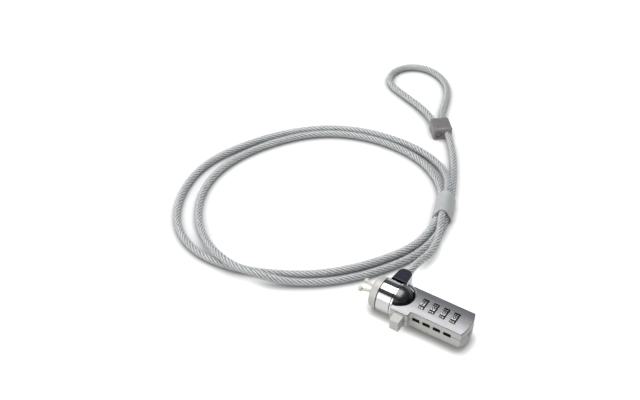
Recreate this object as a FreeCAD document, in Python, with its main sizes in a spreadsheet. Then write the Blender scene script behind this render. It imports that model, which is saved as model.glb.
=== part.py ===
"""Laptop cable lock with four number wheels, a swivel collar and a cable laid in two turns.

Frame: millimetres. The lock's long axis is X, its hooks point to -X and its code-change screw to +X.
The button is on the near side, -Y. Z is up and the ground is z = 0. The origin is on the underside,
below the middle of the four wheels.
"""
import FreeCAD, Part
import math
import os

from FreeCAD import Placement, Rotation, Vector
import Sketcher

# Driving sizes, in millimetres unless the note says degrees

VALUES = [
    ("AxisHeight", 10.7, "lock axis above the ground"),
    ("HousingWidth", 19.5, "body across, in Y"),
    ("CoverHeight", 7.0, "top of the face plate above the lock axis"),
    ("PlateThickness", 0.8, "brushed plate on the cover"),
    ("PlateInset", 0.12, "plate edge behind the cover's edge"),
    ("PartingHeight", 1.5, "joint line of the two shells above the axis"),
    ("BellyRadius", 8.3, "round lower corners of the trough"),
    ("BellyEndRound", 5.0, "round edge between belly and end face"),
    ("CoverEdge", 0.5, "round long edge of the cover"),
    ("EndApex", 20.9, "foremost point of the curved end face"),
    ("EndRadius", 32.4, "radius of the curved end face, seen from above"),
    ("DialPitch", 7.0, "step from wheel to wheel"),
    ("DialRadius", 7.3, "number band of a wheel"),
    ("DialBand", 3.4, "width of the number band"),
    ("DialShoulder", 6.0, "radius of the wheel beside the band"),
    ("DialWidth", 5.2, "whole width of a wheel"),
    ("DialBore", 4.6, "bore of a wheel"),
    ("DialKeyDepth", 0.6, "depth of the ten key grooves in the bore"),
    ("DialKeyWidth", 1.0, "width of a key groove"),
    ("GripRadius", 0.5, "radius of the ten grip grooves"),
    ("GripOffset", 0.15, "middle of a groove outside the band"),
    ("DialGap", 0.3, "air round a wheel"),
    ("WindowLength", 9.0, "windows, across the body"),
    ("WindowShift", 0.2, "windows towards the near side"),
    ("SideOpeningLength", 5.0, "side openings, along the body"),
    ("SideOpeningHeight", 2.8, "side openings, up"),
    ("FitGap", 0.05, "radial gap of running and pressed fits"),
    ("PressGap", 0.01, "radial gap where a ring is pressed on"),
    ("SleeveLength", 4.4, "code sleeve in each wheel"),
    ("SpindleRadius", 2.0, "rod through all sleeves"),
    ("FinRadius", 3.2, "reach of the fins on the rod"),
    ("FinWidth", 1.2, "fins across"),
    ("FinLength", 1.4, "fins along the rod"),
    ("FinGap", 0.3, "air round the fins"),
    ("FinMargin", 0.6, "from a fin to the sleeve behind it"),
    ("EndGap", 0.3, "air at the end of the spindle's travel"),
    ("ConeBack", 1.0, "rim behind the cone of the spindle"),
    ("WedgeGap", 0.2, "air between the button's wedge and the cone"),
    ("ReleaseTravel", 2.8, "slide of the spindle, and of the button"),
    ("BallX", -27.6, "centre of the ball"),
    ("BallRadius", 10.6, "ball, and barrel of the collar"),
    ("WebSetback", 0.1, "flat of the ball beyond its centre"),
    ("SocketGap", 0.4, "gap between ball and body"),
    ("RimRadius", 10.9, "rim between ball and collar"),
    ("RimThickness", 1.0, "rim along the axis"),
    ("WasherThickness", 0.2, "thrust washer"),
    ("WasherRadius", 9.0, "thrust washer, outside"),
    ("NeckRadius", 6.0, "tube that the collar turns on"),
    ("NeckBore", 4.2, "bore of that tube"),
    ("NeckGap", 0.2, "from the tube to the front wall of the cap"),
    ("ConeBore", 5.1, "chamber in the ball round the cone"),
    ("SpigotRadius", 5.4, "end of the neck in the body"),
    ("SpigotLength", 4.0, "spigot beyond the chamber"),
    ("CollarLength", 9.6, "swivel collar along the axis"),
    ("RunningGap", 0.4, "end gaps of the collar"),
    ("HeadLength", 5.2, "head cap along the axis"),
    ("HeadRadius", 10.5, "head cap"),
    ("HeadRound", 2.0, "round front edge of the head cap"),
    ("HeadWall", 1.4, "front wall of the head cap"),
    ("LugReach", 23.0, "end of the cable lug from the axis"),
    ("LugRootReach", 11.3, "where the lug widens past the collar"),
    ("LugBaseWidth", 11.0, "lug at its root, along X"),
    ("LugBaseHeight", 8.6, "lug, up"),
    ("LugTipWidth", 9.2, "lug at its tip, along X, before it is rounded"),
    ("LugTipRound", 4.2, "round end of the lug, seen from above"),
    ("LugEdge", 0.7, "round upper and lower edges of the lug"),
    ("PanelStart", 12.7, "dark panel, start from the axis"),
    ("PanelRim", 0.7, "bright rim beside the panel"),
    ("PanelDepth", 0.5, "recess of the panel"),
    ("PanelSink", 0.1, "panel below the rim"),
    ("PanelGap", 0.04, "air round the panel"),
    ("PanelCorner", 0.9, "round inner corners of the panel"),
    ("CableRadius", 2.75, "clear coat over the steel strands"),
    ("StopRadius", 3.4, "crimped bead on the cable's end"),
    ("StopStart", 7.0, "bead, start from the axis"),
    ("StopEnd", 13.6, "bead, end from the axis"),
    ("PivotX", 1.55, "hook pivot behind the front wall of the cap"),
    ("PinRadius", 0.9, "hook pivot pin"),
    ("PinInset", 0.1, "ends of the pin inside the tube's surface"),
    ("ArmThickness", 1.35, "each hook arm, up"),
    ("ArmSplit", 0.1, "air between the two arms"),
    ("ArmHalfWidth", 0.85, "half width of an arm"),
    ("HubRadius", 1.9, "eye of a hook round its pin"),
    ("HookReach", 12.6, "end of the hooks from the pivot"),
    ("HookSpread", 3.55, "middle of an arm's end from the axis, locked"),
    ("HookBarb", 0.7, "barb beyond the arm"),
    ("HookHead", 2.1, "hook head along X"),
    ("HookRound", 0.4, "round outer corner of a head"),
    ("TailReach", 4.4, "end of the tails from the pivot"),
    ("TailOffset", 2.0, "middle of a tail from the axis, locked"),
    ("TailHalfWidth", 0.75, "half width of a tail"),
    ("SpreaderHalf", 1.1, "half width of the spreader"),
    ("SpreaderNose", 0.45, "half width of its nose"),
    ("SpreaderTaper", 1.4, "length of its taper"),
    ("SpreaderReach", 2.7, "spreader nose behind the hook pivot"),
    ("SpreaderLength", 2.9, "spreader along X"),
    ("ButtonX", 7.7, "middle of the button from the ball's centre"),
    ("ButtonWidth", 6.2, "button along X"),
    ("ButtonTop", 5.4, "button top above the axis"),
    ("ButtonBottom", 2.9, "button underside below the axis"),
    ("ButtonReach", 20.4, "button face from the axis"),
    ("ButtonInner", 12.7, "inner end of the button head from the axis"),
    ("ButtonGap", 0.2, "air round the button"),
    ("ButtonRound", 0.6, "round edges of the button"),
    ("StemWidth", 3.0, "wedge stem along X"),
    ("StemHeight", 3.6, "wedge stem, up"),
    ("StemX", 5.0, "left side of the stem from the ball's centre"),
    ("StemReach", 5.0, "tip of the stem from the axis"),
    ("GuardReach", 13.8, "face of the button guard from the axis"),
    ("GuardStart", 1.0, "left end of the guard from the ball's centre"),
    ("GuardEnd", 13.2, "right end of the guard from the ball's centre"),
    ("GuardBottom", 4.3, "underside of the guard below the axis"),
    ("GuardRound", 1.0, "round edges of the guard"),
    ("GuardFlare", 1.5, "round inner corner between guard and side"),
    ("ButtonPinRadius", 0.6, "stop pin of the button"),
    ("ButtonPinY", -11.4, "stop pin from the axis"),
    ("ButtonSpringRadius", 0.85, "button spring, middle of the wire"),
    ("ButtonSpringX", 9.4, "button spring from the ball's centre"),
    ("ButtonSpringDepth", 2.6, "button spring's seat in the button"),
    ("ButtonFloor", 9.9, "wall behind the button, from the axis"),
    ("SpringWire", 0.22, "half the wire of the springs"),
    ("SpindleSpringRadius", 3.0, "spindle spring, middle of the wire"),
    ("WebThickness", 1.2, "wall behind the spindle spring"),
    ("SeatRadius", 3.8, "spring seat on the spindle"),
    ("SeatThickness", 0.8, "spring seat along X"),
    ("SeatReach", 0.2, "front of the spring seat behind the spreader"),
    ("SpringEnd", 0.25, "air at each end of a spring"),
    ("DetentThickness", 0.3, "leaf spring under the wheels"),
    ("DetentWidth", 3.6, "leaf spring across"),
    ("DetentGap", 0.3, "from a bump to its wheel"),
    ("DetentBump", 0.5, "radius of the four bumps"),
    ("ScrewRadius", 2.6, "head of the code-change screw"),
    ("ScrewShank", 1.6, "its shank"),
    ("ScrewSlot", 0.8, "width of its slot"),
    ("ScrewDepth", 2.4, "length of its head"),
    ("PlateCamRadius", 4.0, "change plate behind the screw"),
    ("PlateCamStart", 16.0, "change plate, start"),
    ("PlateCamEnd", 17.2, "change plate, end"),
    ("PlateCamFlat", 2.4, "flat of the change plate from the axis"),
    ("PressPinRadius", 1.1, "pins that hold the cover"),
    ("PressPinX", 15.6, "pins from the middle, along X"),
    ("PressPinY", 2.55, "pins from the body's sides"),
    ("PressPinBottom", 6.7, "lower end of the pins below the axis"),
    ("PressPinTop", 4.7, "upper end of the pins above the axis"),
    ("FerruleLength", 15.0, "ferrule along the cable"),
    ("FerruleWidth", 14.2, "ferrule across"),
    ("FerruleHeight", 9.5, "ferrule, up"),
    ("FerruleRound", 1.6, "round edges of the ferrule"),
    ("FerruleBoreOffset", 3.5, "bores from the middle of the ferrule"),
    ("FerruleBoreHeight", 4.75, "bores above the ground"),
    ("FerruleDimple", 6.5, "depth of the bore that is left empty"),
    ("TieLength", 20.0, "clear band along the cable"),
    ("TieWall", 0.7, "thickness of the band"),
    ("TieGap", 0.35, "air between band and cable"),
    ("StrandGap", 5.8, "step between the strands in the band"),
]

DIALS = 4
DIGITS = 10

doc = FreeCAD.newDocument("CableLock")
sheet = doc.addObject("Spreadsheet::Sheet", "Sizes")
for row, (alias, number, note) in enumerate(VALUES, start=1):
    sheet.set(f"A{row}", note)
    sheet.set(f"B{row}", str(number))
    sheet.setAlias(f"B{row}", alias)
doc.recompute()


class Size:
    """A length that carries its number and the sheet expression that it comes from."""

    def __init__(self, number, text):
        self.number = float(number)
        self.text = text

    def join(self, other, sign, number):
        return Size(number, f"({self.text} {sign} {size(other).text})")

    def __add__(self, other):
        return self.join(other, "+", self.number + float(other))

    def __sub__(self, other):
        return self.join(other, "-", self.number - float(other))

    def __mul__(self, other):
        return self.join(other, "*", self.number * float(other))

    def __truediv__(self, other):
        return self.join(other, "/", self.number / float(other))

    def __radd__(self, other):
        return size(other) + self

    def __rsub__(self, other):
        return size(other) - self

    def __rmul__(self, other):
        return size(other) * self

    def __neg__(self):
        return Size(-self.number, f"(0 - {self.text})")

    def __float__(self):
        return self.number


def size(value):
    """The value as a Size, also when it is a plain number."""
    return value if isinstance(value, Size) else Size(value, repr(float(value)))


def root(value):
    """Square root of a Size."""
    return Size(math.sqrt(value.number), f"sqrt({value.text})")


class Cells:
    """The sheet's cells as Size values, read by name."""

    def __getattr__(self, name):
        return Size(sheet.get(name), f"Sizes.{name}")


v = Cells()


def bind(thing, prop, value):
    """Tie a property to the sheet."""
    thing.setExpression(prop, size(value).text)


# Shapes that are used again and again

ALONG = {
    "x": Rotation(Vector(0, 1, 0), 90),
    "y": Rotation(Vector(1, 0, 0), -90),
    "z": Rotation(),
}


def place(thing, at, along="z"):
    thing.Placement = Placement(Vector(*[float(c) for c in at]), ALONG[along])
    for axis, value in zip("xyz", at):
        bind(thing, f"Placement.Base.{axis}", value)
    return thing


def cylinder(name, radius, length, at, along="x"):
    thing = doc.addObject("Part::Cylinder", name)
    bind(thing, "Radius", radius)
    bind(thing, "Height", length)
    return place(thing, at, along)


def cone(name, first, last, length, at, along="x"):
    thing = doc.addObject("Part::Cone", name)
    bind(thing, "Radius1", first)
    bind(thing, "Radius2", last)
    bind(thing, "Height", length)
    return place(thing, at, along)


def box(name, low, high):
    thing = doc.addObject("Part::Box", name)
    for prop, start, end in zip(("Length", "Width", "Height"), low, high):
        bind(thing, prop, size(end) - start)
    return place(thing, low)


def fuse(name, *parts):
    thing = doc.addObject("Part::MultiFuse", name)
    thing.Shapes = list(parts)
    return thing


def cut(name, base, *tools):
    thing = doc.addObject("Part::Cut", name)
    thing.Base = base
    thing.Tool = tools[0] if len(tools) == 1 else fuse(name + "_tools", *tools)
    return thing


def common(name, *parts):
    thing = doc.addObject("Part::MultiCommon", name)
    thing.Shapes = list(parts)
    return thing


def plane(body, role):
    return next(f for f in body.Origin.OriginFeatures if f.Role == role)


def sketch(body, name, role, offset=0):
    """A sketch on one of the body's own planes, moved along the plane's normal."""
    thing = body.newObject("Sketcher::SketchObject", name)
    thing.AttachmentSupport = (plane(body, role), [""])
    thing.MapMode = "FlatFace"
    bind(thing, "AttachmentOffset.Base.z", offset)
    return thing


def hold(drawing, kind, *terms):
    """One constraint whose last term is a Size."""
    index = drawing.addConstraint(Sketcher.Constraint(kind, *terms[:-1], float(terms[-1])))
    drawing.setExpression(f"Constraints[{index}]", size(terms[-1]).text)


def outline(drawing, points):
    """A closed polygon whose corners are held at the given places."""
    first = drawing.GeometryCount
    count = len(points)
    ends = [Vector(float(x), float(y), 0) for x, y in points]
    for i in range(count):
        drawing.addGeometry(Part.LineSegment(ends[i], ends[(i + 1) % count]))
    for i in range(count):
        following = first + (i + 1) % count
        drawing.addConstraint(Sketcher.Constraint("Coincident", first + i, 2, following, 1))
    for i, (x, y) in enumerate(points):
        hold(drawing, "DistanceX", -1, 1, first + i, 1, x)
        hold(drawing, "DistanceY", -1, 1, first + i, 1, y)


def disc(drawing, centre, radius):
    """A circle held at the given centre."""
    index = drawing.GeometryCount
    middle = Vector(float(centre[0]), float(centre[1]), 0)
    drawing.addGeometry(Part.Circle(middle, Vector(0, 0, 1), float(radius)))
    hold(drawing, "DistanceX", -1, 1, index, 3, centre[0])
    hold(drawing, "DistanceY", -1, 1, index, 3, centre[1])
    hold(drawing, "Radius", index, radius)


def rectangle(low, high):
    return [(low[0], low[1]), (high[0], low[1]), (high[0], high[1]), (low[0], high[1])]


def grow(body, kind, name, drawing, length, backwards=False):
    """A pad or a pocket from a sketch."""
    thing = body.newObject(f"PartDesign::{kind}", name)
    thing.Profile = drawing
    thing.Reversed = backwards
    bind(thing, "Length", length)
    doc.recompute()
    return thing


def soften(body, kind, name, base, radius, test):
    """Fillet or chamfer the edges of the last feature that pass the test."""
    names = [f"Edge{i}" for i, e in enumerate(base.Shape.Edges, start=1) if test(e)]
    thing = body.newObject(f"PartDesign::{kind}", name)
    thing.Base = (base, names)
    bind(thing, "Radius" if kind == "Fillet" else "Size", radius)
    doc.recompute()
    return thing


def new_body(name):
    return doc.addObject("PartDesign::Body", name)


def is_near(a, b):
    return abs(a - float(b)) < 1e-4


def upright_at(edge, x=None, y=None):
    """Whether an edge is upright and stands at the given x, y or both."""
    room = edge.BoundBox
    if room.XLength > 1e-4 or room.YLength > 1e-4:
        return False
    return (x is None or is_near(room.XMin, x)) and (y is None or is_near(room.YMin, y))


pieces = []


def piece(thing, label):
    """Give a finished sub-part its name."""
    thing.Label = label
    pieces.append(thing)
    return thing


# Places that follow from the sizes

AXIS = v.AxisHeight
HALF = v.HousingWidth / 2
TRAVEL = v.ReleaseTravel
PLATE_TOP = AXIS + v.CoverHeight
PLATE_UNDER = PLATE_TOP - v.PlateThickness
PARTING = AXIS + v.PartingHeight
BUTTON_TOP = AXIS + v.ButtonTop
BUTTON_LOW = AXIS - v.ButtonBottom
GUARD_LOW = AXIS - v.GuardBottom
PIN_TOP = AXIS + v.PressPinTop
PIN_LOW = AXIS - v.PressPinBottom
SOCKET = v.BallRadius + v.SocketGap
END_CENTRE = v.EndApex - v.EndRadius
BALL_LEFT = v.BallX - v.WebSetback
RIM_LEFT = BALL_LEFT - v.RimThickness
WASHER_LEFT = RIM_LEFT - v.WasherThickness
COLLAR_RIGHT = WASHER_LEFT - v.FitGap
COLLAR_LEFT = COLLAR_RIGHT - v.CollarLength
COLLAR_MIDDLE = COLLAR_LEFT + v.CollarLength / 2
HEAD_RIGHT = COLLAR_LEFT - v.RunningGap
HEAD_FRONT = HEAD_RIGHT - v.HeadLength
HEAD_INSIDE = HEAD_FRONT + v.HeadWall
PIVOT = HEAD_INSIDE + v.PivotX
ARM_HALF = v.ArmThickness + v.ArmSplit / 2
NOSE = PIVOT + v.SpreaderReach
SPREADER_BACK = NOSE + v.SpreaderLength
SEAT_LEFT = SPREADER_BACK + v.SeatReach
BUTTON_X = v.BallX + v.ButtonX
BUTTON_SPRING_X = v.BallX + v.ButtonSpringX
STEM_LEFT = v.BallX + v.StemX
STEM_MIDDLE = STEM_LEFT + v.StemWidth / 2
STEM_RIGHT = STEM_LEFT + v.StemWidth
GUARD_LEFT = v.BallX + v.GuardStart
GUARD_RIGHT = v.BallX + v.GuardEnd
CONE_RISE = v.StemReach - v.SpindleRadius
CONE_START = STEM_LEFT - CONE_RISE + v.WedgeGap / 2
WEB_RIGHT = CONE_START - 2 * v.EndGap
WEB_LEFT = WEB_RIGHT - v.WebThickness
CHAMBER_RIGHT = CONE_START + CONE_RISE + v.ConeBack + TRAVEL + v.EndGap
SPIGOT_RIGHT = CHAMBER_RIGHT + v.SpigotLength
DIAL_XS = [v.DialPitch * (i - (DIALS - 1) / 2) for i in range(DIALS)]
LAST_DIAL = DIAL_XS[-1]
SPINDLE_END = LAST_DIAL + v.SleeveLength / 2
BORE_END = SPINDLE_END + TRAVEL + v.EndGap
PIN_SPOTS = [(sx * v.PressPinX, sy * (HALF - v.PressPinY)) for sx, sy in ((1, 1), (1, -1), (-1, 1), (-1, -1))]
BUTTON_PIN_LOW = GUARD_LOW + v.ButtonGap
LEAF_TOP = AXIS - v.DialRadius - v.DetentGap - v.DetentBump
LEAF_LOW = LEAF_TOP - v.DetentThickness


# Hollows that both shells share

def dial_pocket(number, x):
    """Room for one wheel: a narrow slot for its band and a wide one for its shoulders."""
    band = v.DialBand + 2 * v.DialGap
    width = v.DialWidth + 2 * v.DialGap
    return [
        cylinder(f"band_room_{number}", v.DialRadius + v.DialGap, band, (x - band / 2, 0, AXIS)),
        cylinder(f"shoulder_room_{number}", v.DialShoulder + v.DialGap, width, (x - width / 2, 0, AXIS)),
        box(
            f"side_opening_{number}",
            (x - v.SideOpeningLength / 2, -HALF - 1, PARTING - v.SideOpeningHeight / 2),
            (x + v.SideOpeningLength / 2, HALF + 1, PARTING + v.SideOpeningHeight / 2),
        ),
    ]


def hollows():
    """Everything that is taken out of the two shells."""
    tools = []
    for number, x in enumerate(DIAL_XS, start=1):
        tools += dial_pocket(number, x)
    left = v.BallX
    tools.append(cylinder("fin_bore", v.FinRadius + v.FinGap, BORE_END - left, (left, 0, AXIS)))
    tools.append(cylinder("spigot_bore", v.SpigotRadius + v.FitGap, SPIGOT_RIGHT + v.FitGap - left, (left, 0, AXIS)))
    tools.append(cylinder("socket", SOCKET, PLATE_TOP * 2, (v.BallX, 0, -1), "z"))
    cam = v.PlateCamEnd - v.PlateCamStart + v.EndGap
    tools.append(cylinder("cam_room", v.PlateCamRadius + v.FinGap, cam, (v.PlateCamStart - v.EndGap / 2, 0, AXIS)))
    shank = v.EndApex - v.PlateCamEnd
    tools.append(cylinder("shank_bore", v.ScrewShank + v.FitGap, shank, (v.PlateCamEnd, 0, AXIS)))
    head = (v.EndApex - v.ScrewDepth, 0, AXIS)
    tools.append(cylinder("screw_bore", v.ScrewRadius + v.FitGap, v.ScrewDepth + 1, head))
    tools.append(box(
        "button_opening",
        (BUTTON_X - v.ButtonWidth / 2 - v.ButtonGap, -v.GuardReach - 1, BUTTON_LOW - v.ButtonGap),
        (BUTTON_X + v.ButtonWidth / 2 + v.ButtonGap, -v.ButtonFloor, BUTTON_TOP + v.ButtonGap),
    ))
    tools.append(box(
        "stem_opening",
        (STEM_LEFT - v.ButtonGap, -v.GuardReach, AXIS - v.StemHeight / 2 - v.ButtonGap),
        (STEM_RIGHT + v.ButtonGap, -v.FinRadius, AXIS + v.StemHeight / 2 + v.ButtonGap),
    ))
    tools.append(cylinder(
        "button_pin_bore", v.ButtonPinRadius, AXIS - BUTTON_PIN_LOW, (STEM_MIDDLE, v.ButtonPinY, BUTTON_PIN_LOW), "z"))
    for number, (x, y) in enumerate(PIN_SPOTS, start=1):
        tools.append(cylinder(f"press_bore_{number}", v.PressPinRadius, PIN_TOP + 1, (x, y, -1), "z"))
    return fuse("hollows", *tools)


HOLLOWS = hollows()
END_SHAPE = cylinder("end_shape", v.EndRadius, PLATE_TOP * 2, (END_CENTRE, 0, -1), "z")


def guard(name, low, high):
    """The part of the body that stands out on the near side round the button."""
    body = new_body(name)
    drawing = sketch(body, name + "_outline", "XY_Plane", low)
    foot = GUARD_RIGHT + v.GuardFlare * 1.1
    outline(drawing, [
        (GUARD_LEFT, -v.GuardReach),
        (GUARD_RIGHT, -v.GuardReach),
        (GUARD_RIGHT, -HALF),
        (foot, -HALF),
        (foot, -HALF + 1),
        (GUARD_LEFT, -HALF + 1),
    ])
    pad = grow(body, "Pad", name + "_pad", drawing, size(high) - low)
    outer = soften(body, "Fillet", name + "_round", pad, v.GuardRound, lambda e: upright_at(e, y=-v.GuardReach))
    soften(body, "Fillet", name + "_flare", outer, v.GuardFlare, lambda e: upright_at(e, GUARD_RIGHT, -HALF))
    return body


def turned_end():
    """Round bar about the lock axis that just holds the trough, with a large round edge at its end.

    Its radius is the reach of the belly's round corners from the axis.
    """
    aside = HALF - v.BellyRadius
    down = AXIS - v.BellyRadius
    body = new_body("turned_end")
    drawing = sketch(body, "turned_circle", "YZ_Plane", v.BallX - 1)
    disc(drawing, (0, AXIS), root(aside * aside + down * down) + v.BellyRadius)
    pad = grow(body, "Pad", "turned_bar", drawing, v.EndApex - v.BallX + 1)
    soften(body, "Fillet", "turned_round", pad, v.BellyEndRound, lambda e: is_near(e.BoundBox.XMin, v.EndApex))
    return body


def lower_housing():
    """Trough with round lower corners; the near side carries the lower half of the button guard."""
    body = new_body("trough")
    drawing = sketch(body, "trough_section", "YZ_Plane", v.BallX)
    outline(drawing, rectangle((-HALF, 0), (HALF, PARTING)))
    pad = grow(body, "Pad", "trough_pad", drawing, v.EndApex - v.BallX)
    soften(
        body, "Fillet", "trough_belly", pad, v.BellyRadius,
        lambda e: is_near(e.Vertexes[0].Z, 0) and is_near(e.Vertexes[1].Z, 0)
        and is_near(e.Vertexes[0].Y, e.Vertexes[1].Y),
    )
    round_end = common("trough_round", body, turned_end())
    block = fuse("trough_block", round_end, guard("lower_guard", GUARD_LOW, PARTING))
    leaf = box(
        "leaf_room",
        (DIAL_XS[0] - v.DialWidth / 2 - 2 * v.DialGap, -v.DetentWidth / 2 - v.DialGap, LEAF_LOW),
        (LAST_DIAL + v.DialWidth / 2 + 2 * v.DialGap, v.DetentWidth / 2 + v.DialGap, AXIS - v.DialRadius),
    )
    shaped = common("trough_shaped", block, END_SHAPE)
    return piece(cut("lower_housing", shaped, HOLLOWS, leaf), "lower_housing")


def upper_housing():
    """Cover between the parting line and the face plate, open over each wheel."""
    body = new_body("cover")
    drawing = sketch(body, "cover_section", "YZ_Plane", v.BallX)
    outline(drawing, rectangle((-HALF, PARTING), (HALF, PLATE_UNDER)))
    pad = grow(body, "Pad", "cover_pad", drawing, v.EndApex - v.BallX)
    soften(
        body, "Fillet", "cover_edge", pad, v.CoverEdge,
        lambda e: is_near(e.Vertexes[0].Z, PLATE_UNDER) and is_near(e.Vertexes[1].Z, PLATE_UNDER)
        and is_near(e.Vertexes[0].Y, e.Vertexes[1].Y) and e.Vertexes[0].Y > 0,
    )
    block = fuse("cover_block", body, guard("upper_guard", PARTING, PLATE_UNDER))
    shaped = common("cover_shaped", block, END_SHAPE)
    return piece(cut("upper_housing", shaped, HOLLOWS), "upper_housing")


def face_plate():
    """Brushed plate with four windows; a tab covers the top of the button guard."""
    body = new_body("plate_blank")
    drawing = sketch(body, "plate_outline", "XY_Plane", PLATE_UNDER)
    side = HALF - v.PlateInset
    tab = v.GuardReach - v.PlateInset
    tab_right = GUARD_RIGHT - v.PlateInset
    outline(drawing, [
        (GUARD_LEFT + v.PlateInset, -tab),
        (tab_right, -tab),
        (tab_right, -side),
        (v.EndApex, -side),
        (v.EndApex, side),
        (GUARD_LEFT + v.PlateInset, side),
    ])
    pad = grow(body, "Pad", "plate_pad", drawing, v.PlateThickness)
    corners = soften(body, "Fillet", "plate_corners", pad, v.GuardRound, lambda e: upright_at(e, y=-tab))
    soften(body, "Fillet", "plate_flare", corners, v.GuardFlare, lambda e: upright_at(e, tab_right, -side))
    window = sketch(body, "window", "XY_Plane", PLATE_TOP)
    half = v.DialBand / 2 + v.DialGap - v.FitGap
    low = (DIAL_XS[0] - half, -v.WindowLength / 2 - v.WindowShift)
    high = (DIAL_XS[0] + half, v.WindowLength / 2 - v.WindowShift)
    outline(window, rectangle(low, high))
    pocket = grow(body, "Pocket", "window_pocket", window, v.PlateThickness * 2)
    rows = body.newObject("PartDesign::LinearPattern", "windows")
    rows.Originals = [pocket]
    rows.Direction = (window, ["H_Axis"])
    rows.Mode = "Spacing"
    bind(rows, "Offset", v.DialPitch)
    rows.Occurrences = DIALS
    body.Tip = rows
    doc.recompute()
    end = cylinder("plate_end", v.EndRadius - v.PlateInset, PLATE_TOP * 2, (END_CENTRE, 0, 0), "z")
    socket = cylinder("plate_socket", SOCKET, PLATE_TOP * 2, (v.BallX, 0, 0), "z")
    return piece(cut("face_plate", common("plate_shaped", body, end), socket), "face_plate")


def ball_neck():
    """Polished ball in one piece with the tube that carries the collar and the head."""
    ball = doc.addObject("Part::Sphere", "ball")
    bind(ball, "Radius", v.BallRadius)
    place(ball, (v.BallX, 0, AXIS), "x")
    face = box(
        "ball_face",
        (BALL_LEFT, -v.BallRadius - 1, AXIS - v.BallRadius - 1),
        (v.BallX + v.BallRadius + 1, v.BallRadius + 1, AXIS + v.BallRadius + 1),
    )
    half_ball = common("half_ball", ball, face)
    tube_left = HEAD_INSIDE + v.NeckGap
    tube = cylinder("neck_tube", v.NeckRadius, v.BallX - tube_left, (tube_left, 0, AXIS))
    spigot = cylinder("spigot", v.SpigotRadius, SPIGOT_RIGHT - v.BallX, (v.BallX, 0, AXIS))
    whole = fuse("neck_whole", half_ball, tube, spigot)
    return piece(cut(
        "ball_neck",
        whole,
        cylinder("neck_bore", v.NeckBore, WEB_LEFT - HEAD_INSIDE, (HEAD_INSIDE, 0, AXIS)),
        cylinder("web_bore", v.SpindleRadius + v.FitGap, v.WebThickness + 2, (WEB_LEFT - 1, 0, AXIS)),
        cylinder("chamber", v.ConeBore, CHAMBER_RIGHT - WEB_RIGHT, (WEB_RIGHT, 0, AXIS)),
        cylinder("spigot_inside", v.FinRadius + v.FinGap, v.SpigotLength + 2, (CHAMBER_RIGHT - 1, 0, AXIS)),
        box(
            "stem_hole",
            (STEM_LEFT - v.ButtonGap, -v.BallRadius - 1, AXIS - v.StemHeight / 2 - v.ButtonGap),
            (STEM_RIGHT + v.ButtonGap, -v.FinRadius, AXIS + v.StemHeight / 2 + v.ButtonGap),
        ),
        cylinder("pin_hole", v.PinRadius, v.NeckRadius * 2 + 2, (PIVOT, 0, AXIS - v.NeckRadius - 1), "z"),
    ), "ball_neck")


def ring(name, outside, inside, left, right):
    """A plain ring round the lock axis."""
    length = size(right) - left
    outer = cylinder(name + "_outer", outside, length, (left, 0, AXIS))
    inner = cylinder(name + "_inner", inside, length + 2, (left - 1, 0, AXIS))
    return piece(cut(name, outer, inner), name)


def tongue(body, name, start, rim, low, height):
    """Block with the lug's outline seen from above, less a rim all round.

    It narrows from its straight start to its tip, where both corners are rounded.
    """
    tip = v.LugReach - rim
    base = v.LugBaseWidth / 2 - rim
    point = v.LugTipWidth / 2 - rim
    drawing = sketch(body, name + "_outline", "XY_Plane", low)
    outline(drawing, [
        (COLLAR_MIDDLE - base, start), (COLLAR_MIDDLE + base, start),
        (COLLAR_MIDDLE + point, tip), (COLLAR_MIDDLE - point, tip),
    ])
    block = grow(body, "Pad", name + "_block", drawing, height)
    return soften(body, "Fillet", name + "_round", block, v.LugTipRound - rim, lambda e: upright_at(e, y=tip))


def swivel_collar():
    """Barrel that turns on the neck, with a round-ended lug whose flat top takes the dark panel."""
    lug_low = AXIS - v.LugBaseHeight / 2
    lug_top = AXIS + v.LugBaseHeight / 2
    lug = new_body("lug_body")
    round_lug = tongue(lug, "lug", v.LugRootReach, 0, lug_low, v.LugBaseHeight)
    soften(
        lug, "Fillet", "lug_edge", round_lug, v.LugEdge,
        lambda e: e.BoundBox.ZLength < 1e-4 and e.BoundBox.YMax > float(v.LugRootReach) + 1e-4,
    )
    body = new_body("collar_body")
    drawing = sketch(body, "barrel_circle", "YZ_Plane", COLLAR_LEFT)
    disc(drawing, (0, AXIS), v.BallRadius)
    grow(body, "Pad", "barrel", drawing, v.CollarLength)
    drawing = sketch(body, "lug_root_section", "XZ_Plane", -v.LugRootReach)
    half = v.CollarLength / 2
    outline(drawing, rectangle((COLLAR_MIDDLE - half, lug_low), (COLLAR_MIDDLE + half, lug_top)))
    grow(body, "Pad", "lug_root", drawing, v.LugRootReach - v.NeckRadius)
    recess = new_body("panel_recess")
    tongue(recess, "recess", v.PanelStart, v.PanelRim, lug_top - v.PanelDepth, v.PanelDepth + 1)
    return piece(cut(
        "swivel_collar",
        fuse("collar_blank", body, lug),
        recess,
        cylinder("collar_bore", v.NeckRadius + v.FitGap, v.CollarLength + 2, (COLLAR_LEFT - 1, 0, AXIS)),
        cylinder("cable_bore", v.CableRadius + v.FitGap, v.LugReach, (COLLAR_MIDDLE, v.NeckRadius - 1, AXIS), "y"),
        cylinder(
            "stop_bore", v.StopRadius + v.FitGap, v.StopEnd - v.NeckRadius + 1,
            (COLLAR_MIDDLE, v.NeckRadius - 1, AXIS), "y",
        ),
    ), "swivel_collar")


def lug_panel():
    """Dark panel with round corners, just below the bright rim of the lug."""
    body = new_body("lug_panel")
    low = AXIS + v.LugBaseHeight / 2 - v.PanelDepth + v.PanelGap
    height = v.PanelDepth - v.PanelGap - v.PanelSink
    start = v.PanelStart + v.PanelGap
    far = tongue(body, "panel", start, v.PanelRim + v.PanelGap, low, height)
    soften(body, "Fillet", "panel_corners", far, v.PanelCorner, lambda e: upright_at(e, y=start))
    return piece(body, "lug_panel")


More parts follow.
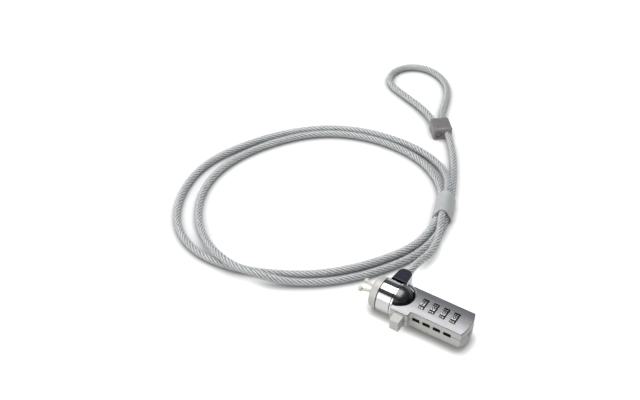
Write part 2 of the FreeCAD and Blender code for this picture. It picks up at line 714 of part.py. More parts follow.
def cable_stop():
    """Crimped bead that keeps the cable in the lug."""
    length = v.StopEnd - v.StopStart
    return piece(cylinder("cable_stop", v.StopRadius, length, (COLLAR_MIDDLE, v.StopStart, AXIS), "y"), "cable_stop")


def head_cap():
    """Cup over the front of the neck, with the slot that the hooks come out of."""
    body = new_body("head_blank")
    drawing = sketch(body, "head_circle", "YZ_Plane", HEAD_FRONT)
    disc(drawing, (0, AXIS), v.HeadRadius)
    pad = grow(body, "Pad", "head_pad", drawing, v.HeadLength)
    soften(body, "Fillet", "head_round", pad, v.HeadRound, lambda e: is_near(e.BoundBox.XMax, HEAD_FRONT))
    slot_half = v.HookSpread + v.HookBarb + 2 * v.EndGap
    return piece(cut(
        "head_cap",
        body,
        cylinder("head_bore", v.NeckRadius + v.FitGap, v.HeadLength, (HEAD_INSIDE, 0, AXIS)),
        box(
            "hook_slot",
            (HEAD_FRONT - 1, -slot_half, AXIS - ARM_HALF - v.EndGap),
            (HEAD_INSIDE + 1, slot_half, AXIS + ARM_HALF + v.EndGap),
        ),
    ), "head_cap")


def hook(label, side):
    """One locking arm: a bent lever on the pivot pin, full height only at its barbed head."""
    body = new_body(label + "_body")
    pivot = PIVOT
    slope = v.HookSpread / v.HookReach
    tip = pivot - v.HookReach
    neck = tip + v.HookHead
    inner = side * (v.HookSpread - v.ArmHalfWidth)
    outer = side * (v.HookSpread + v.ArmHalfWidth - slope * v.HookHead)
    barb = side * (v.HookSpread + v.ArmHalfWidth + v.HookBarb)
    low = AXIS + v.ArmSplit / 2 if side > 0 else AXIS - ARM_HALF
    drawing = sketch(body, label + "_hub_outline", "XY_Plane", low)
    disc(drawing, (pivot, 0), v.HubRadius)
    grow(body, "Pad", label + "_hub", drawing, v.ArmThickness)
    drawing = sketch(body, label + "_arm_outline", "XY_Plane", low)
    outline(drawing, [
        (pivot, -side * v.ArmHalfWidth),
        (tip, inner),
        (tip, barb),
        (neck, barb),
        (neck, outer),
        (pivot, side * v.ArmHalfWidth),
    ])
    grow(body, "Pad", label + "_arm", drawing, v.ArmThickness)
    drawing = sketch(body, label + "_tail_outline", "XY_Plane", low)
    tail_inside = v.TailOffset - v.TailHalfWidth
    outline(drawing, [
        (pivot + v.TailReach, -side * tail_inside),
        (pivot + v.TailReach, -side * (v.TailOffset + v.TailHalfWidth)),
        (pivot, -side * v.HubRadius),
        (pivot, 0),
        (pivot + tail_inside, -side * tail_inside),
    ])
    grow(body, "Pad", label + "_tail", drawing, v.ArmThickness)
    head = sketch(body, label + "_head_outline", "XY_Plane", AXIS - ARM_HALF)
    outline(head, rectangle((tip, inner + side * v.ArmSplit), (neck - v.ArmSplit, barb)))
    pad = grow(body, "Pad", label + "_head", head, ARM_HALF * 2)
    soften(body, "Fillet", label + "_round", pad, v.HookRound, lambda e: upright_at(e, tip, barb))
    bore = cylinder(label + "_bore", v.PinRadius + v.FitGap, ARM_HALF * 4, (pivot, 0, AXIS - ARM_HALF * 2), "z")
    return piece(cut(label, body, bore), label)


def hook_pin():
    """Pivot of both hooks, pressed across the neck tube."""
    half = v.NeckRadius - v.PinInset
    return piece(cylinder("hook_pin", v.PinRadius, half * 2, (PIVOT, 0, AXIS - half), "z"), "hook_pin")


def hook_spreader():
    """Tapered block on the spindle's front end that holds the hook tails apart."""
    body = new_body("hook_spreader")
    shoulder = NOSE + v.SpreaderTaper
    drawing = sketch(body, "spreader_outline", "XY_Plane", AXIS - ARM_HALF)
    outline(drawing, [
        (NOSE, -v.SpreaderNose), (shoulder, -v.SpreaderHalf), (SPREADER_BACK, -v.SpreaderHalf),
        (SPREADER_BACK, v.SpreaderHalf), (shoulder, v.SpreaderHalf), (NOSE, v.SpreaderNose),
    ])
    grow(body, "Pad", "spreader_pad", drawing, ARM_HALF * 2)
    return piece(body, "hook_spreader")


def spindle():
    """Rod with a fin before each sleeve and the cone that the button's wedge pushes."""
    rise = CONE_RISE - v.WedgeGap
    parts = [cylinder("rod", v.SpindleRadius, SPINDLE_END - SPREADER_BACK, (SPREADER_BACK, 0, AXIS))]
    parts.append(cone("cone", v.SpindleRadius, v.SpindleRadius + rise, rise, (CONE_START, 0, AXIS)))
    parts.append(cylinder("cone_back", v.SpindleRadius + rise, v.ConeBack, (CONE_START + rise, 0, AXIS)))
    for number, x in enumerate(DIAL_XS, start=1):
        right = x - v.SleeveLength / 2 - v.FinMargin
        parts.append(box(
            f"fin_{number}",
            (right - v.FinLength, -v.FinWidth / 2, AXIS),
            (right, v.FinWidth / 2, AXIS + v.FinRadius),
        ))
    return piece(fuse("spindle", *parts), "spindle")


def dial(number, x):
    """Number wheel: a proud band with ten grip grooves, and ten key grooves in its bore."""
    label = f"dial_{number}"
    body = new_body(label + "_body")
    drawing = sketch(body, label + "_shoulder", "YZ_Plane", x - v.DialWidth / 2)
    disc(drawing, (0, AXIS), v.DialShoulder)
    disc(drawing, (0, AXIS), v.DialBore)
    grow(body, "Pad", label + "_hub", drawing, v.DialWidth)
    drawing = sketch(body, label + "_band", "YZ_Plane", x - v.DialBand / 2)
    disc(drawing, (0, AXIS), v.DialRadius)
    disc(drawing, (0, AXIS), v.DialBore)
    grow(body, "Pad", label + "_ring", drawing, v.DialBand)
    edge = v.DialRadius + v.GripOffset
    tools = []
    for step in range(DIGITS):
        turn = Rotation(Vector(1, 0, 0), 360 * step / DIGITS)
        half_step = math.radians(180 / DIGITS)
        grip = doc.addObject("Part::Cylinder", f"{label}_grip_{step}")
        bind(grip, "Radius", v.GripRadius)
        bind(grip, "Height", v.DialBand + 2)
        angle = half_step * (2 * step + 1)
        at = (x - v.DialBand / 2 - 1, edge * math.sin(angle), AXIS + edge * math.cos(angle))
        tools.append(place(grip, at, "x"))
        key = doc.addObject("Part::Box", f"{label}_key_{step}")
        bind(key, "Length", v.DialWidth + 2)
        bind(key, "Width", v.DialKeyWidth)
        bind(key, "Height", v.DialBore + v.DialKeyDepth)
        key.Placement = Placement(Vector(), turn)
        angle = math.radians(360 * step / DIGITS)
        bind(key, "Placement.Base.x", x - v.DialWidth / 2 - 1)
        bind(key, "Placement.Base.y", -v.DialKeyWidth / 2 * math.cos(angle))
        bind(key, "Placement.Base.z", AXIS - v.DialKeyWidth / 2 * math.sin(angle))
        tools.append(key)
    return piece(cut(label, body, *tools), label)


def sleeve(number, x):
    """Code sleeve: a ring on the spindle with a slot for the fin and two keys in the wheel.

    Its front end is bored out for the fin's travel, so that the land with the slot stands behind it.
    """
    label = f"sleeve_{number}"
    left = x - v.SleeveLength / 2
    outer = cylinder(label + "_outer", v.DialBore - v.FitGap, v.SleeveLength, (left, 0, AXIS))
    reach = v.DialBore + v.DialKeyDepth - 2 * v.FitGap
    half = v.DialKeyWidth / 2 - v.FitGap
    keys = box(label + "_keys", (left, -half, AXIS - reach), (left + v.SleeveLength, half, AXIS + reach))
    bore = cylinder(label + "_bore", v.SpindleRadius + v.FitGap, v.SleeveLength + 2, (left - 1, 0, AXIS))
    side = v.FinWidth / 2 + v.FinGap
    top = AXIS + v.FinRadius + v.FinGap
    slot = box(label + "_slot", (left - 1, -side, AXIS), (left + v.SleeveLength + 1, side, top))
    room = cylinder(label + "_room", v.FinRadius + v.FinGap, TRAVEL - v.FinMargin + v.FinGap + 1, (left - 1, 0, AXIS))
    return piece(cut(label, fuse(label + "_blank", outer, keys), bore, slot, room), label)


def spring(label, coil, length, turns, at, along):
    """Coil spring with its flat wire swept along a helix."""
    helix = Part.makeHelix(float(length) / turns, float(length), float(coil))
    wire = float(v.SpringWire)
    corners = [(-wire, -wire), (wire, -wire), (wire, wire), (-wire, wire), (-wire, -wire)]
    profile = Part.makePolygon([Vector(float(coil) + a, 0, b) for a, b in corners])
    solid = Part.Wire(helix).makePipeShell([profile], True, True)
    thing = doc.addObject("Part::Feature", label)
    thing.Shape = solid
    thing.Placement = Placement(Vector(*[float(c) for c in at]), ALONG[along])
    return piece(thing, label)


def spring_seat():
    """Washer on the spindle that the spindle spring pushes."""
    return ring("spring_seat", v.SeatRadius, v.SpindleRadius + v.PressGap, SEAT_LEFT, SEAT_LEFT + v.SeatThickness)


def push_button():
    """Button block with round edges, and the wedge stem that drives the spindle's cone."""
    body = new_body("button_body")
    drawing = sketch(body, "button_outline", "XY_Plane", BUTTON_LOW)
    left = BUTTON_X - v.ButtonWidth / 2
    right = BUTTON_X + v.ButtonWidth / 2
    outline(drawing, rectangle((left, -v.ButtonReach), (right, -v.ButtonInner)))
    pad = grow(body, "Pad", "button_block", drawing, BUTTON_TOP - BUTTON_LOW)
    soften(
        body, "Fillet", "button_round", pad, v.ButtonRound,
        lambda e: is_near(e.BoundBox.YMax, -v.ButtonReach),
    )
    drawing = sketch(body, "stem_outline", "XY_Plane", AXIS - v.StemHeight / 2)
    outline(drawing, [
        (STEM_LEFT, -v.ButtonInner - 1),
        (STEM_RIGHT, -v.ButtonInner - 1),
        (STEM_RIGHT, -v.StemReach - v.StemWidth),
        (STEM_LEFT, -v.StemReach),
    ])
    grow(body, "Pad", "stem", drawing, v.StemHeight)
    half = v.ButtonPinRadius + v.ButtonGap / 2
    inner_end = v.ButtonPinY + half
    return piece(cut(
        "push_button",
        body,
        box(
            "button_pin_slot",
            (STEM_MIDDLE - half, inner_end - 2 * half - TRAVEL - v.ButtonGap, BUTTON_LOW - 1),
            (STEM_MIDDLE + half, inner_end, AXIS + v.StemHeight / 2 + 1),
        ),
        cylinder(
            "spring_hole", v.ButtonSpringRadius + v.SpringWire + v.ButtonGap, v.ButtonSpringDepth,
            (BUTTON_SPRING_X, -v.ButtonInner - v.ButtonSpringDepth, AXIS), "y",
        ),
    ), "push_button")


def button_pin():
    """Pin that stops the button from coming out."""
    length = AXIS + v.StemHeight / 2 - BUTTON_PIN_LOW
    at = (STEM_MIDDLE, v.ButtonPinY, BUTTON_PIN_LOW)
    return piece(cylinder("button_pin", v.ButtonPinRadius, length, at, "z"), "button_pin")


def detent_spring():
    """Leaf spring with a bump under each wheel."""
    half = v.DetentWidth / 2
    left = DIAL_XS[0] - v.DialWidth / 2 - v.DialGap
    right = LAST_DIAL + v.DialWidth / 2 + v.DialGap
    parts = [box("leaf", (left, -half, LEAF_LOW), (right, half, LEAF_TOP))]
    for number, x in enumerate(DIAL_XS, start=1):
        parts.append(cylinder(f"bump_{number}", v.DetentBump, v.DialBand, (x - v.DialBand / 2, 0, LEAF_TOP), "x"))
    room = box("leaf_above", (left, -half, LEAF_LOW), (right, half, LEAF_TOP + v.DetentBump))
    return piece(common("detent_spring", fuse("leaf_and_bumps", *parts), room), "detent_spring")


def change_screw():
    """Slotted screw in the end face that is turned to set a new code."""
    start = v.EndApex - v.ScrewDepth + v.FitGap
    head = cylinder("screw_head", v.ScrewRadius, v.ScrewDepth - v.EndGap, (start, 0, AXIS))
    shank = cylinder("screw_shank", v.ScrewShank, start - v.PlateCamEnd, (v.PlateCamEnd, 0, AXIS))
    half = v.ScrewSlot / 2
    slot = box(
        "screw_slot", (v.EndApex - 1, -v.ScrewRadius - 1, AXIS - half), (v.EndApex + 1, v.ScrewRadius + 1, AXIS + half))
    return piece(cut("change_screw", fuse("screw_blank", head, shank), slot), "change_screw")


def change_plate():
    """Cam plate with a flat, carried by the code-change screw."""
    length = v.PlateCamEnd - v.PlateCamStart
    plate = cylinder("cam_disc", v.PlateCamRadius, length, (v.PlateCamStart, 0, AXIS))
    reach = v.PlateCamRadius + 1
    flat = box(
        "cam_flat", (v.PlateCamStart - 1, -reach, AXIS + v.PlateCamFlat),
        (v.PlateCamEnd + 1, reach, AXIS + reach))
    return piece(cut("change_plate", plate, flat), "change_plate")


def housing_pins():
    """Four pressed pins that hold the cover on the trough."""
    length = PIN_TOP - PIN_LOW
    pins = []
    for number, (x, y) in enumerate(PIN_SPOTS, start=1):
        pins.append(cylinder(f"press_pin_{number}", v.PressPinRadius, length, (x, y, PIN_LOW), "z"))
    return piece(fuse("housing_pins", *pins), "housing_pins")


# The cable. Its points are the corners of straight runs; each corner becomes an arc as large as its
# two runs allow. Both routes start at the ferrule.

FROM_FERRULE = [(-69.5, 157.8, 3.1), (-61.2, 143.5, 2.8), (-53.4, 127.0, 2.9)]
FIRST_TURN = [
    (-37.6, 61.0, 2.8), (-42.5, 43.0, 2.8), (-52.0, 25.5, 2.8), (-64.5, 8.5, 2.8),
    (-80.5, -6.5, 2.8), (-99.0, -18.5, 3.4), (-116.5, -26.8, 8.6), (-133.0, -29.2, 9.0),
    (-151.0, -24.8, 8.6), (-168.0, -14.8, 4.6), (-183.5, -1.5, 2.8), (-195.0, 15.5, 2.8),
    (-201.3, 35.0, 2.8), (-201.5, 56.0, 2.8), (-196.0, 77.0, 2.8), (-186.0, 97.0, 2.8),
    (-171.5, 116.5, 2.8), (-153.0, 130.5, 2.8), (-131.5, 138.3, 2.8), (-108.5, 140.5, 2.8),
    (-85.0, 136.6, 2.8), (-65.5, 125.0, 2.8),
]
SECOND_TURN = [
    (-43.8, 62.0, 2.8), (-49.5, 45.5, 2.8), (-59.0, 29.5, 2.8), (-70.8, 13.5, 2.8),
    (-86.0, -1.5, 2.8), (-104.5, -13.5, 2.8), (-124.0, -22.5, 2.8), (-144.5, -27.6, 2.8),
    (-164.5, -27.4, 2.8), (-183.0, -20.5, 2.8), (-198.3, -6.8, 2.8), (-208.5, 11.5, 2.8),
    (-214.0, 32.5, 2.8), (-213.5, 54.0, 2.8), (-206.0, 75.5, 2.8), (-195.0, 96.5, 2.8),
    (-180.0, 116.5, 2.8), (-160.5, 133.0, 2.8), (-137.0, 143.5, 2.8), (-112.0, 147.4, 2.8),
    (-87.5, 145.6, 2.8), (-67.8, 137.0, 3.6), (-56.3, 124.0, 7.2),
]
TO_LOCK = [(-36.4, 73.0, 9.2), (-32.8, 62.0, 7.2), (-32.3, 50.5, 6.4), (-33.3, 40.5, 8.4)]
EYE = [
    (-98.4, 198.5, 3.2), (-102.6, 214.0, 2.8), (-109.5, 229.0, 2.8), (-122.0, 239.5, 2.8),
    (-138.0, 242.5, 2.8), (-151.5, 235.5, 2.8), (-157.2, 221.0, 2.8), (-150.8, 207.2, 2.8),
    (-134.0, 200.2, 2.8), (-115.0, 193.0, 3.4),
]
ARC_SHARE = 0.45
FERRULE_MIDDLE = Vector(-88.2, 175.5, 0)
FERRULE_HEADING = 131.0
FERRULE_EXIT = 4.5
TIE_MIDDLE = Vector(-45.1, 96.6, 0)
TIE_HEADING = 108.4
TIE_EXIT = 4.0
LUG_EXIT = 7.2


def heading(degrees):
    return Vector(math.cos(math.radians(degrees)), math.sin(math.radians(degrees)), 0)


def in_ferrule(along, side):
    """A point on the centre line of one of the ferrule's two bores."""
    ahead = heading(FERRULE_HEADING) * along
    across = heading(FERRULE_HEADING - 90) * (side * float(v.FerruleBoreOffset))
    return FERRULE_MIDDLE + ahead + across + Vector(0, 0, float(v.FerruleBoreHeight))


def tie_places():
    """Centres of the three strands in the band: left, right, and the one above them."""
    step = float(v.StrandGap)
    rest = float(v.CableRadius + v.TieGap + v.TieWall)
    return [(-step / 2, rest), (step / 2, rest), (0, rest + step * math.sin(math.radians(60)))]


def through_tie(place_number):
    """The two points where a strand enters the band on the far side and leaves it on the near side."""
    aside, high = tie_places()[place_number]
    middle = TIE_MIDDLE + heading(TIE_HEADING - 90) * aside + Vector(0, 0, high)
    ahead = heading(TIE_HEADING) * (float(v.TieLength) / 2 + TIE_EXIT)
    return [middle + ahead, middle - ahead]


def cord(label, route, radius):
    """Tube of constant radius along straight runs joined by tangent arcs."""
    edges = []
    radii = []
    last = route[0]
    for before, corner, after in zip(route, route[1:], route[2:]):
        a = (corner - before).normalize()
        b = (after - corner).normalize()
        half = a.getAngle(b) / 2
        reach = ARC_SHARE * min((corner - before).Length, (after - corner).Length)
        radii.append(reach / math.tan(half))
        start = corner - a * reach
        finish = corner + b * reach
        inward = (b - a).normalize()
        bulge = math.hypot(radii[-1], reach) - radii[-1]
        middle = corner + inward * bulge
        edges.append(Part.LineSegment(last, start).toShape())
        edges.append(Part.Arc(start, middle, finish).toShape())
        last = finish
    edges.append(Part.LineSegment(last, route[-1]).toShape())
    path = Part.Wire(edges)
    circle = Part.makeCircle(radius, route[0], route[1] - route[0])
    solid = path.makePipeShell([Part.Wire(circle)], True, False)
    length = sum(e.Length for e in edges)
    share = solid.Volume / (math.pi * radius**2 * length)
    print(f"{label}: {length:.0f} mm, radii {min(radii):.1f} to {max(radii):.0f} mm, volume share {share:.4f}")
    print(f"  radii {', '.join(f'{r:.0f}' for r in radii)}")
    thing = doc.addObject("Part::Feature", label)
    thing.Shape = solid
    return piece(thing, label)


def cable():
    """The cable from the ferrule through the band three times to the lug."""
    outside = float(v.FerruleLength) / 2 + FERRULE_EXIT
    route = [in_ferrule(-1, 1), in_ferrule(-outside, 1)]
    route += [Vector(*p) for p in FROM_FERRULE] + through_tie(1)
    route += [Vector(*p) for p in FIRST_TURN] + through_tie(0)
    route += [Vector(*p) for p in SECOND_TURN] + through_tie(2)
    route += [Vector(*p) for p in TO_LOCK]
    for y in (v.LugReach + LUG_EXIT, v.StopEnd):
        route.append(Vector(float(COLLAR_MIDDLE), float(y), float(AXIS)))
    return cord("cable", route, float(v.CableRadius))


def eye_loop():
    """The cable's far end, bent back into an eye between the two bores of the ferrule."""
    outside = float(v.FerruleLength) / 2 + FERRULE_EXIT
    depth = float(v.FerruleLength) / 2 - float(v.FerruleDimple)
    route = [in_ferrule(1, 1), in_ferrule(outside, 1)]
    route += [Vector(*p) for p in EYE]
    route += [in_ferrule(outside, -1), in_ferrule(-depth, -1)]
    return cord("eye_loop", route, float(v.CableRadius))


def ferrule():
    """Crimped block with two bores and round edges."""
    body = new_body("ferrule_body")
    half = v.FerruleWidth / 2
    drawing = sketch(body, "ferrule_outline", "XY_Plane", 0)
    outline(drawing, rectangle((-v.FerruleLength / 2, -half), (v.FerruleLength / 2, half)))
    pad = grow(body, "Pad", "ferrule_block", drawing, v.FerruleHeight)
    soften(body, "Fillet", "ferrule_round", pad, v.FerruleRound, lambda e: not is_near(e.BoundBox.ZMax, 0))
    bores = []
    for name, side in (("cable", -1), ("tail", 1)):
        at = (-v.FerruleLength, side * v.FerruleBoreOffset, v.FerruleBoreHeight)
        bores.append(cylinder(name + "_ferrule_bore", v.CableRadius + v.FitGap, v.FerruleLength * 2, at))
    drilled = cut("ferrule", body, *bores)
    drilled.Placement = Placement(FERRULE_MIDDLE, Rotation(Vector(0, 0, 1), FERRULE_HEADING))
    return piece(drilled, "ferrule")


def coil_tie():
    """Clear band round three strands: two side by side and one in the groove above them."""
    centres = [Vector(0, aside, high) for aside, high in tie_places()]

    def hull(radius):
        edges = []
        for i, centre in enumerate(centres):
            before = (centre - centres[i - 1]).normalize()
            after = (centres[(i + 1) % 3] - centre).normalize()
            first = centre + Vector(0, before.z, -before.y) * radius
            last = centre + Vector(0, after.z, -after.y) * radius
            out = (Vector(0, before.z, -before.y) + Vector(0, after.z, -after.y)).normalize()
            edges.append(Part.Arc(first, centre + out * radius, last).toShape())
        joined = []
        for i, arc in enumerate(edges):
            following = edges[(i + 1) % 3]
            joined += [arc, Part.LineSegment(arc.Vertexes[-1].Point, following.Vertexes[0].Point).toShape()]
        return Part.Face(Part.Wire(joined))

    inner = float(v.CableRadius + v.TieGap)
    band = hull(inner + float(v.TieWall)).cut(hull(inner))
    thing = doc.addObject("Part::Feature", "coil_tie")
    thing.Shape = band.extrude(Vector(float(v.TieLength), 0, 0))
    turn = Rotation(Vector(0, 0, 1), TIE_HEADING)
    thing.Placement = Placement(TIE_MIDDLE - heading(TIE_HEADING) * (float(v.TieLength) / 2), turn)
    return piece(thing, "coil_tie")


def build():
    lower_housing()
    upper_housing()
    face_plate()
    ball_neck()
    ring("rim_ring", v.RimRadius, v.NeckRadius + v.PressGap, RIM_LEFT, BALL_LEFT)
    ring("thrust_washer", v.WasherRadius, v.NeckRadius + v.FitGap, WASHER_LEFT, RIM_LEFT)
    swivel_collar()
    lug_panel()
    cable_stop()
    head_cap()
    hook("hook_far", 1)
    hook("hook_near", -1)
    hook_pin()
    hook_spreader()
    spindle()
    spring_seat()
    front = SEAT_LEFT + v.SeatThickness + v.SpringEnd
    spring("spindle_spring", v.SpindleSpringRadius, WEB_LEFT - v.SpringEnd - front, 4, (front, 0, AXIS), "x")
    for number, x in enumerate(DIAL_XS, start=1):
        dial(number, x)
        sleeve(number, x)
    push_button()
    button_pin()
    low = -v.ButtonInner - v.ButtonSpringDepth + v.SpringEnd
    length = -v.ButtonFloor - v.SpringEnd - low
    spring("button_spring", v.ButtonSpringRadius, length, 4, (BUTTON_SPRING_X, low, AXIS), "y")
    detent_spring()
    change_screw()
    change_plate()
    housing_pins()
    cable()
    eye_loop()
    ferrule()
    coil_tie()


def write():
    """Check every object and save each sub-part under its own name."""
    doc.recompute()
    faults = [o.Label for o in doc.Objects if "Invalid" in o.State or "Error" in o.State]
    for thing in pieces:
        if thing.Shape.isNull() or not thing.Shape.isValid() or not thing.Shape.Solids:
            faults.append(thing.Label)
    if faults:
        raise SystemExit("failed: " + ", ".join(sorted(set(faults))))
    os.makedirs("parts", exist_ok=True)
    for thing in pieces:
        thing.Shape.exportStep(os.path.join("parts", thing.Label + ".step"))
        solids = len(thing.Shape.Solids)
        print(f"{thing.Label}: {solids} solid, {thing.Shape.Volume:.1f} mm3")


build()
write()
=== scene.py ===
"""Laptop cable lock on a pale table: metres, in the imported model's own frame."""
import math

import bmesh
import bpy
import numpy as np
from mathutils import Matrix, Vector


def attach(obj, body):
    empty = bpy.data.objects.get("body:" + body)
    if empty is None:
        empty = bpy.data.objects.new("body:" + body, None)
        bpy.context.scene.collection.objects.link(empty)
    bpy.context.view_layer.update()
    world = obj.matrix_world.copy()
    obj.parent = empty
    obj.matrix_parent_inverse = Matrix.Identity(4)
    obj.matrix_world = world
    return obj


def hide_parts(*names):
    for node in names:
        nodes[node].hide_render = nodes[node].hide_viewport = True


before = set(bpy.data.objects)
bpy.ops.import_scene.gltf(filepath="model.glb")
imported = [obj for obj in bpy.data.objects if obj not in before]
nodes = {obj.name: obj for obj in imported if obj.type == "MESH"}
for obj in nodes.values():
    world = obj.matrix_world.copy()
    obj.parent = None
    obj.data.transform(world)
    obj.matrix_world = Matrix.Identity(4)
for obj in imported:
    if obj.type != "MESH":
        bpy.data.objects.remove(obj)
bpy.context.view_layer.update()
scene = bpy.context.scene

# The camera looks down on the lock at 42 degrees from its near side, from 0.47 m above the table,
# as the photograph does. Its picture is 640 x 400.
PITCH = math.radians(42)
TURN = math.radians(32.41)
EYE_POINT = (0.15254, -0.37426, 0.4657)
PICTURE_WIDTH = 640
FOCAL_PIXELS = 990

lens = bpy.data.cameras.new("camera")
lens.sensor_width = 36
lens.lens = lens.sensor_width * FOCAL_PIXELS / PICTURE_WIDTH
lens.clip_start = 0.01
camera = bpy.data.objects.new("camera", lens)
scene.collection.objects.link(camera)
camera.location = EYE_POINT
ahead = Vector((-math.sin(TURN) * math.cos(PITCH), math.cos(TURN) * math.cos(PITCH), -math.sin(PITCH)))
camera.rotation_euler = ahead.to_track_quat("-Z", "Y").to_euler()
scene.camera = camera


# The steel cable: six strands of fine galvanised wire laid round a core, 4.6 mm over the strands,
# drawn through clear PVC to 5.5 mm. It leaves the lock's lug, lies in two loose turns that pass three
# times through the clear band, and ends in the ferrule, from which a short length is bent back as an eye.
CABLE_DIAMETER = 0.0055
ROPE_RADIUS = 0.0023
STRANDS = 6
POINTS_ON_STRAND = 8
LAY_LENGTH = 0.020
COAT_SIDES = 24
STEP = 0.001

# Both routes are control points in millimetres.
CABLE_ROUTE = [
    (-33.75, 13.6, 10.7), (-33.75, 30.2, 10.7), (-33.3, 40.5, 8.4), (-32.3, 50.5, 6.4), (-32.8, 62.0, 7.2),
    (-36.4, 73.0, 9.2), (-40.7, 83.3, 8.82), (-49.5, 109.9, 8.82), (-56.3, 124.0, 7.2), (-67.8, 137.0, 3.6),
    (-87.5, 145.6, 2.8), (-112.0, 147.4, 2.8), (-137.0, 143.5, 2.8), (-160.5, 133.0, 2.8), (-180.0, 116.5, 2.8),
    (-195.0, 96.5, 2.8), (-206.0, 75.5, 2.8), (-213.5, 54.0, 2.8), (-214.0, 32.5, 2.8), (-208.5, 11.5, 2.8),
    (-198.3, -6.8, 2.8), (-183.0, -20.5, 2.8), (-164.5, -27.4, 2.8), (-144.5, -27.6, 2.8), (-124.0, -22.5, 2.8),
    (-104.5, -13.5, 2.8), (-86.0, -1.5, 2.8), (-70.8, 13.5, 2.8), (-59.0, 29.5, 2.8), (-49.5, 45.5, 2.8),
    (-43.8, 62.0, 2.8), (-43.4, 82.4, 3.8), (-52.3, 109.0, 3.8), (-65.5, 125.0, 2.8), (-85.0, 136.6, 2.8),
    (-108.5, 140.5, 2.8), (-131.5, 138.3, 2.8), (-153.0, 130.5, 2.8), (-171.5, 116.5, 2.8), (-186.0, 97.0, 2.8),
    (-196.0, 77.0, 2.8), (-201.5, 56.0, 2.8), (-201.3, 35.0, 2.8), (-195.0, 15.5, 2.8), (-183.5, -1.5, 2.8),
    (-168.0, -14.8, 4.6), (-151.0, -24.8, 8.6), (-133.0, -29.2, 9.0), (-116.5, -26.8, 8.6), (-99.0, -18.5, 3.4),
    (-80.5, -6.5, 2.8), (-64.5, 8.5, 2.8), (-52.0, 25.5, 2.8), (-42.5, 43.0, 2.8), (-37.6, 61.0, 2.8),
    (-37.9, 84.2, 3.8), (-46.8, 110.8, 3.8), (-53.4, 127.0, 2.9), (-61.2, 143.5, 2.8), (-69.5, 157.8, 3.1),
    (-77.7, 168.7, 4.75), (-84.9, 177.0, 4.75),
]
EYE_ROUTE = [
    (-86.2, 178.6, 4.75), (-93.4, 186.9, 4.75), (-98.4, 198.5, 3.2), (-102.6, 214.0, 2.8), (-109.5, 229.0, 2.8),
    (-122.0, 239.5, 2.8), (-138.0, 242.5, 2.8), (-151.5, 235.5, 2.8), (-157.2, 221.0, 2.8), (-150.8, 207.2, 2.8),
    (-134.0, 200.2, 2.8), (-115.0, 193.0, 3.4), (-98.7, 182.3, 4.75), (-90.2, 172.4, 4.75),
]


def linear(code):
    """A six-digit sRGB hex colour as linear RGBA."""
    parts = [int(code[i:i + 2], 16) / 255 for i in (0, 2, 4)]
    return [c / 12.92 if c <= 0.04045 else ((c + 0.055) / 1.055) ** 2.4 for c in parts] + [1.0]


def feed(node, inputs):
    """Fills a shader node's inputs, by name or number: another node's output is joined, a value is set."""
    for name, value in inputs.items():
        if isinstance(value, bpy.types.NodeSocket):
            node.id_data.links.new(value, node.inputs[name])
        else:
            node.inputs[name].default_value = value


def add(tree, kind, inputs, steps=(), **settings):
    """Adds one shader node with its settings, its inputs and, on a colour ramp, its steps of position and
    colour; returns its outputs."""
    node = tree.nodes.new(kind)
    for name, value in settings.items():
        setattr(node, name, value)
    for number, (position, code) in enumerate(steps):
        stops = node.color_ramp.elements
        stop = stops[number] if number < len(stops) else stops.new(position)
        stop.position = position
        stop.color = linear(code)
    feed(node, inputs)
    return node.outputs


def new_material(name, metallic=0.0, roughness=0.5, **sockets):
    """A material with its Principled shader set, all but its colour; returns it with the tree and the
    shader. A socket's name has underscores for its spaces."""
    material = bpy.data.materials.new(name)
    material.use_nodes = True
    tree = material.node_tree
    shader = tree.nodes["Principled BSDF"]
    feed(shader, {"Metallic": metallic, "Roughness": roughness})
    feed(shader, {socket.replace("_", " "): value for socket, value in sockets.items()})
    return material, tree, shader


def surface(name, points, caps=False, uv=None):
    """A mesh from a grid of points, rows by columns, whose columns close into a ring; caps fills the first
    and last rows."""
    rows, columns = points.shape[:2]
    r, c = (a.ravel() for a in np.meshgrid(np.arange(rows - 1), np.arange(columns), indexing="ij"))
    beside = (c + 1) % columns
    faces = np.stack(
        [r * columns + c, (r + 1) * columns + c, (r + 1) * columns + beside, r * columns + beside], axis=1)
    polygons = faces.tolist()
    if caps:
        polygons.append(list(range(columns)))
        polygons.append([(rows - 1) * columns + i for i in range(columns)][::-1])
    mesh = bpy.data.meshes.new(name)
    mesh.from_pydata(points.reshape(-1, 3).tolist(), [], polygons)
    mesh.polygons.foreach_set("use_smooth", np.ones(len(mesh.polygons), bool))
    if uv is not None:
        layer = mesh.uv_layers.new(name="UVMap")
        across = np.stack([c, c, c + 1, c + 1], axis=1) / columns * uv[0]
        down = np.stack([r, r + 1, r + 1, r], axis=1) / rows * uv[1]
        flat = np.zeros((len(mesh.loops), 2))
        flat[:faces.size] = np.stack([across.ravel(), down.ravel()], axis=1)
        layer.data.foreach_set("uv", flat.ravel())
    mesh.validate()
    piece = bpy.data.objects.new(name, mesh)
    scene.collection.objects.link(piece)
    return piece


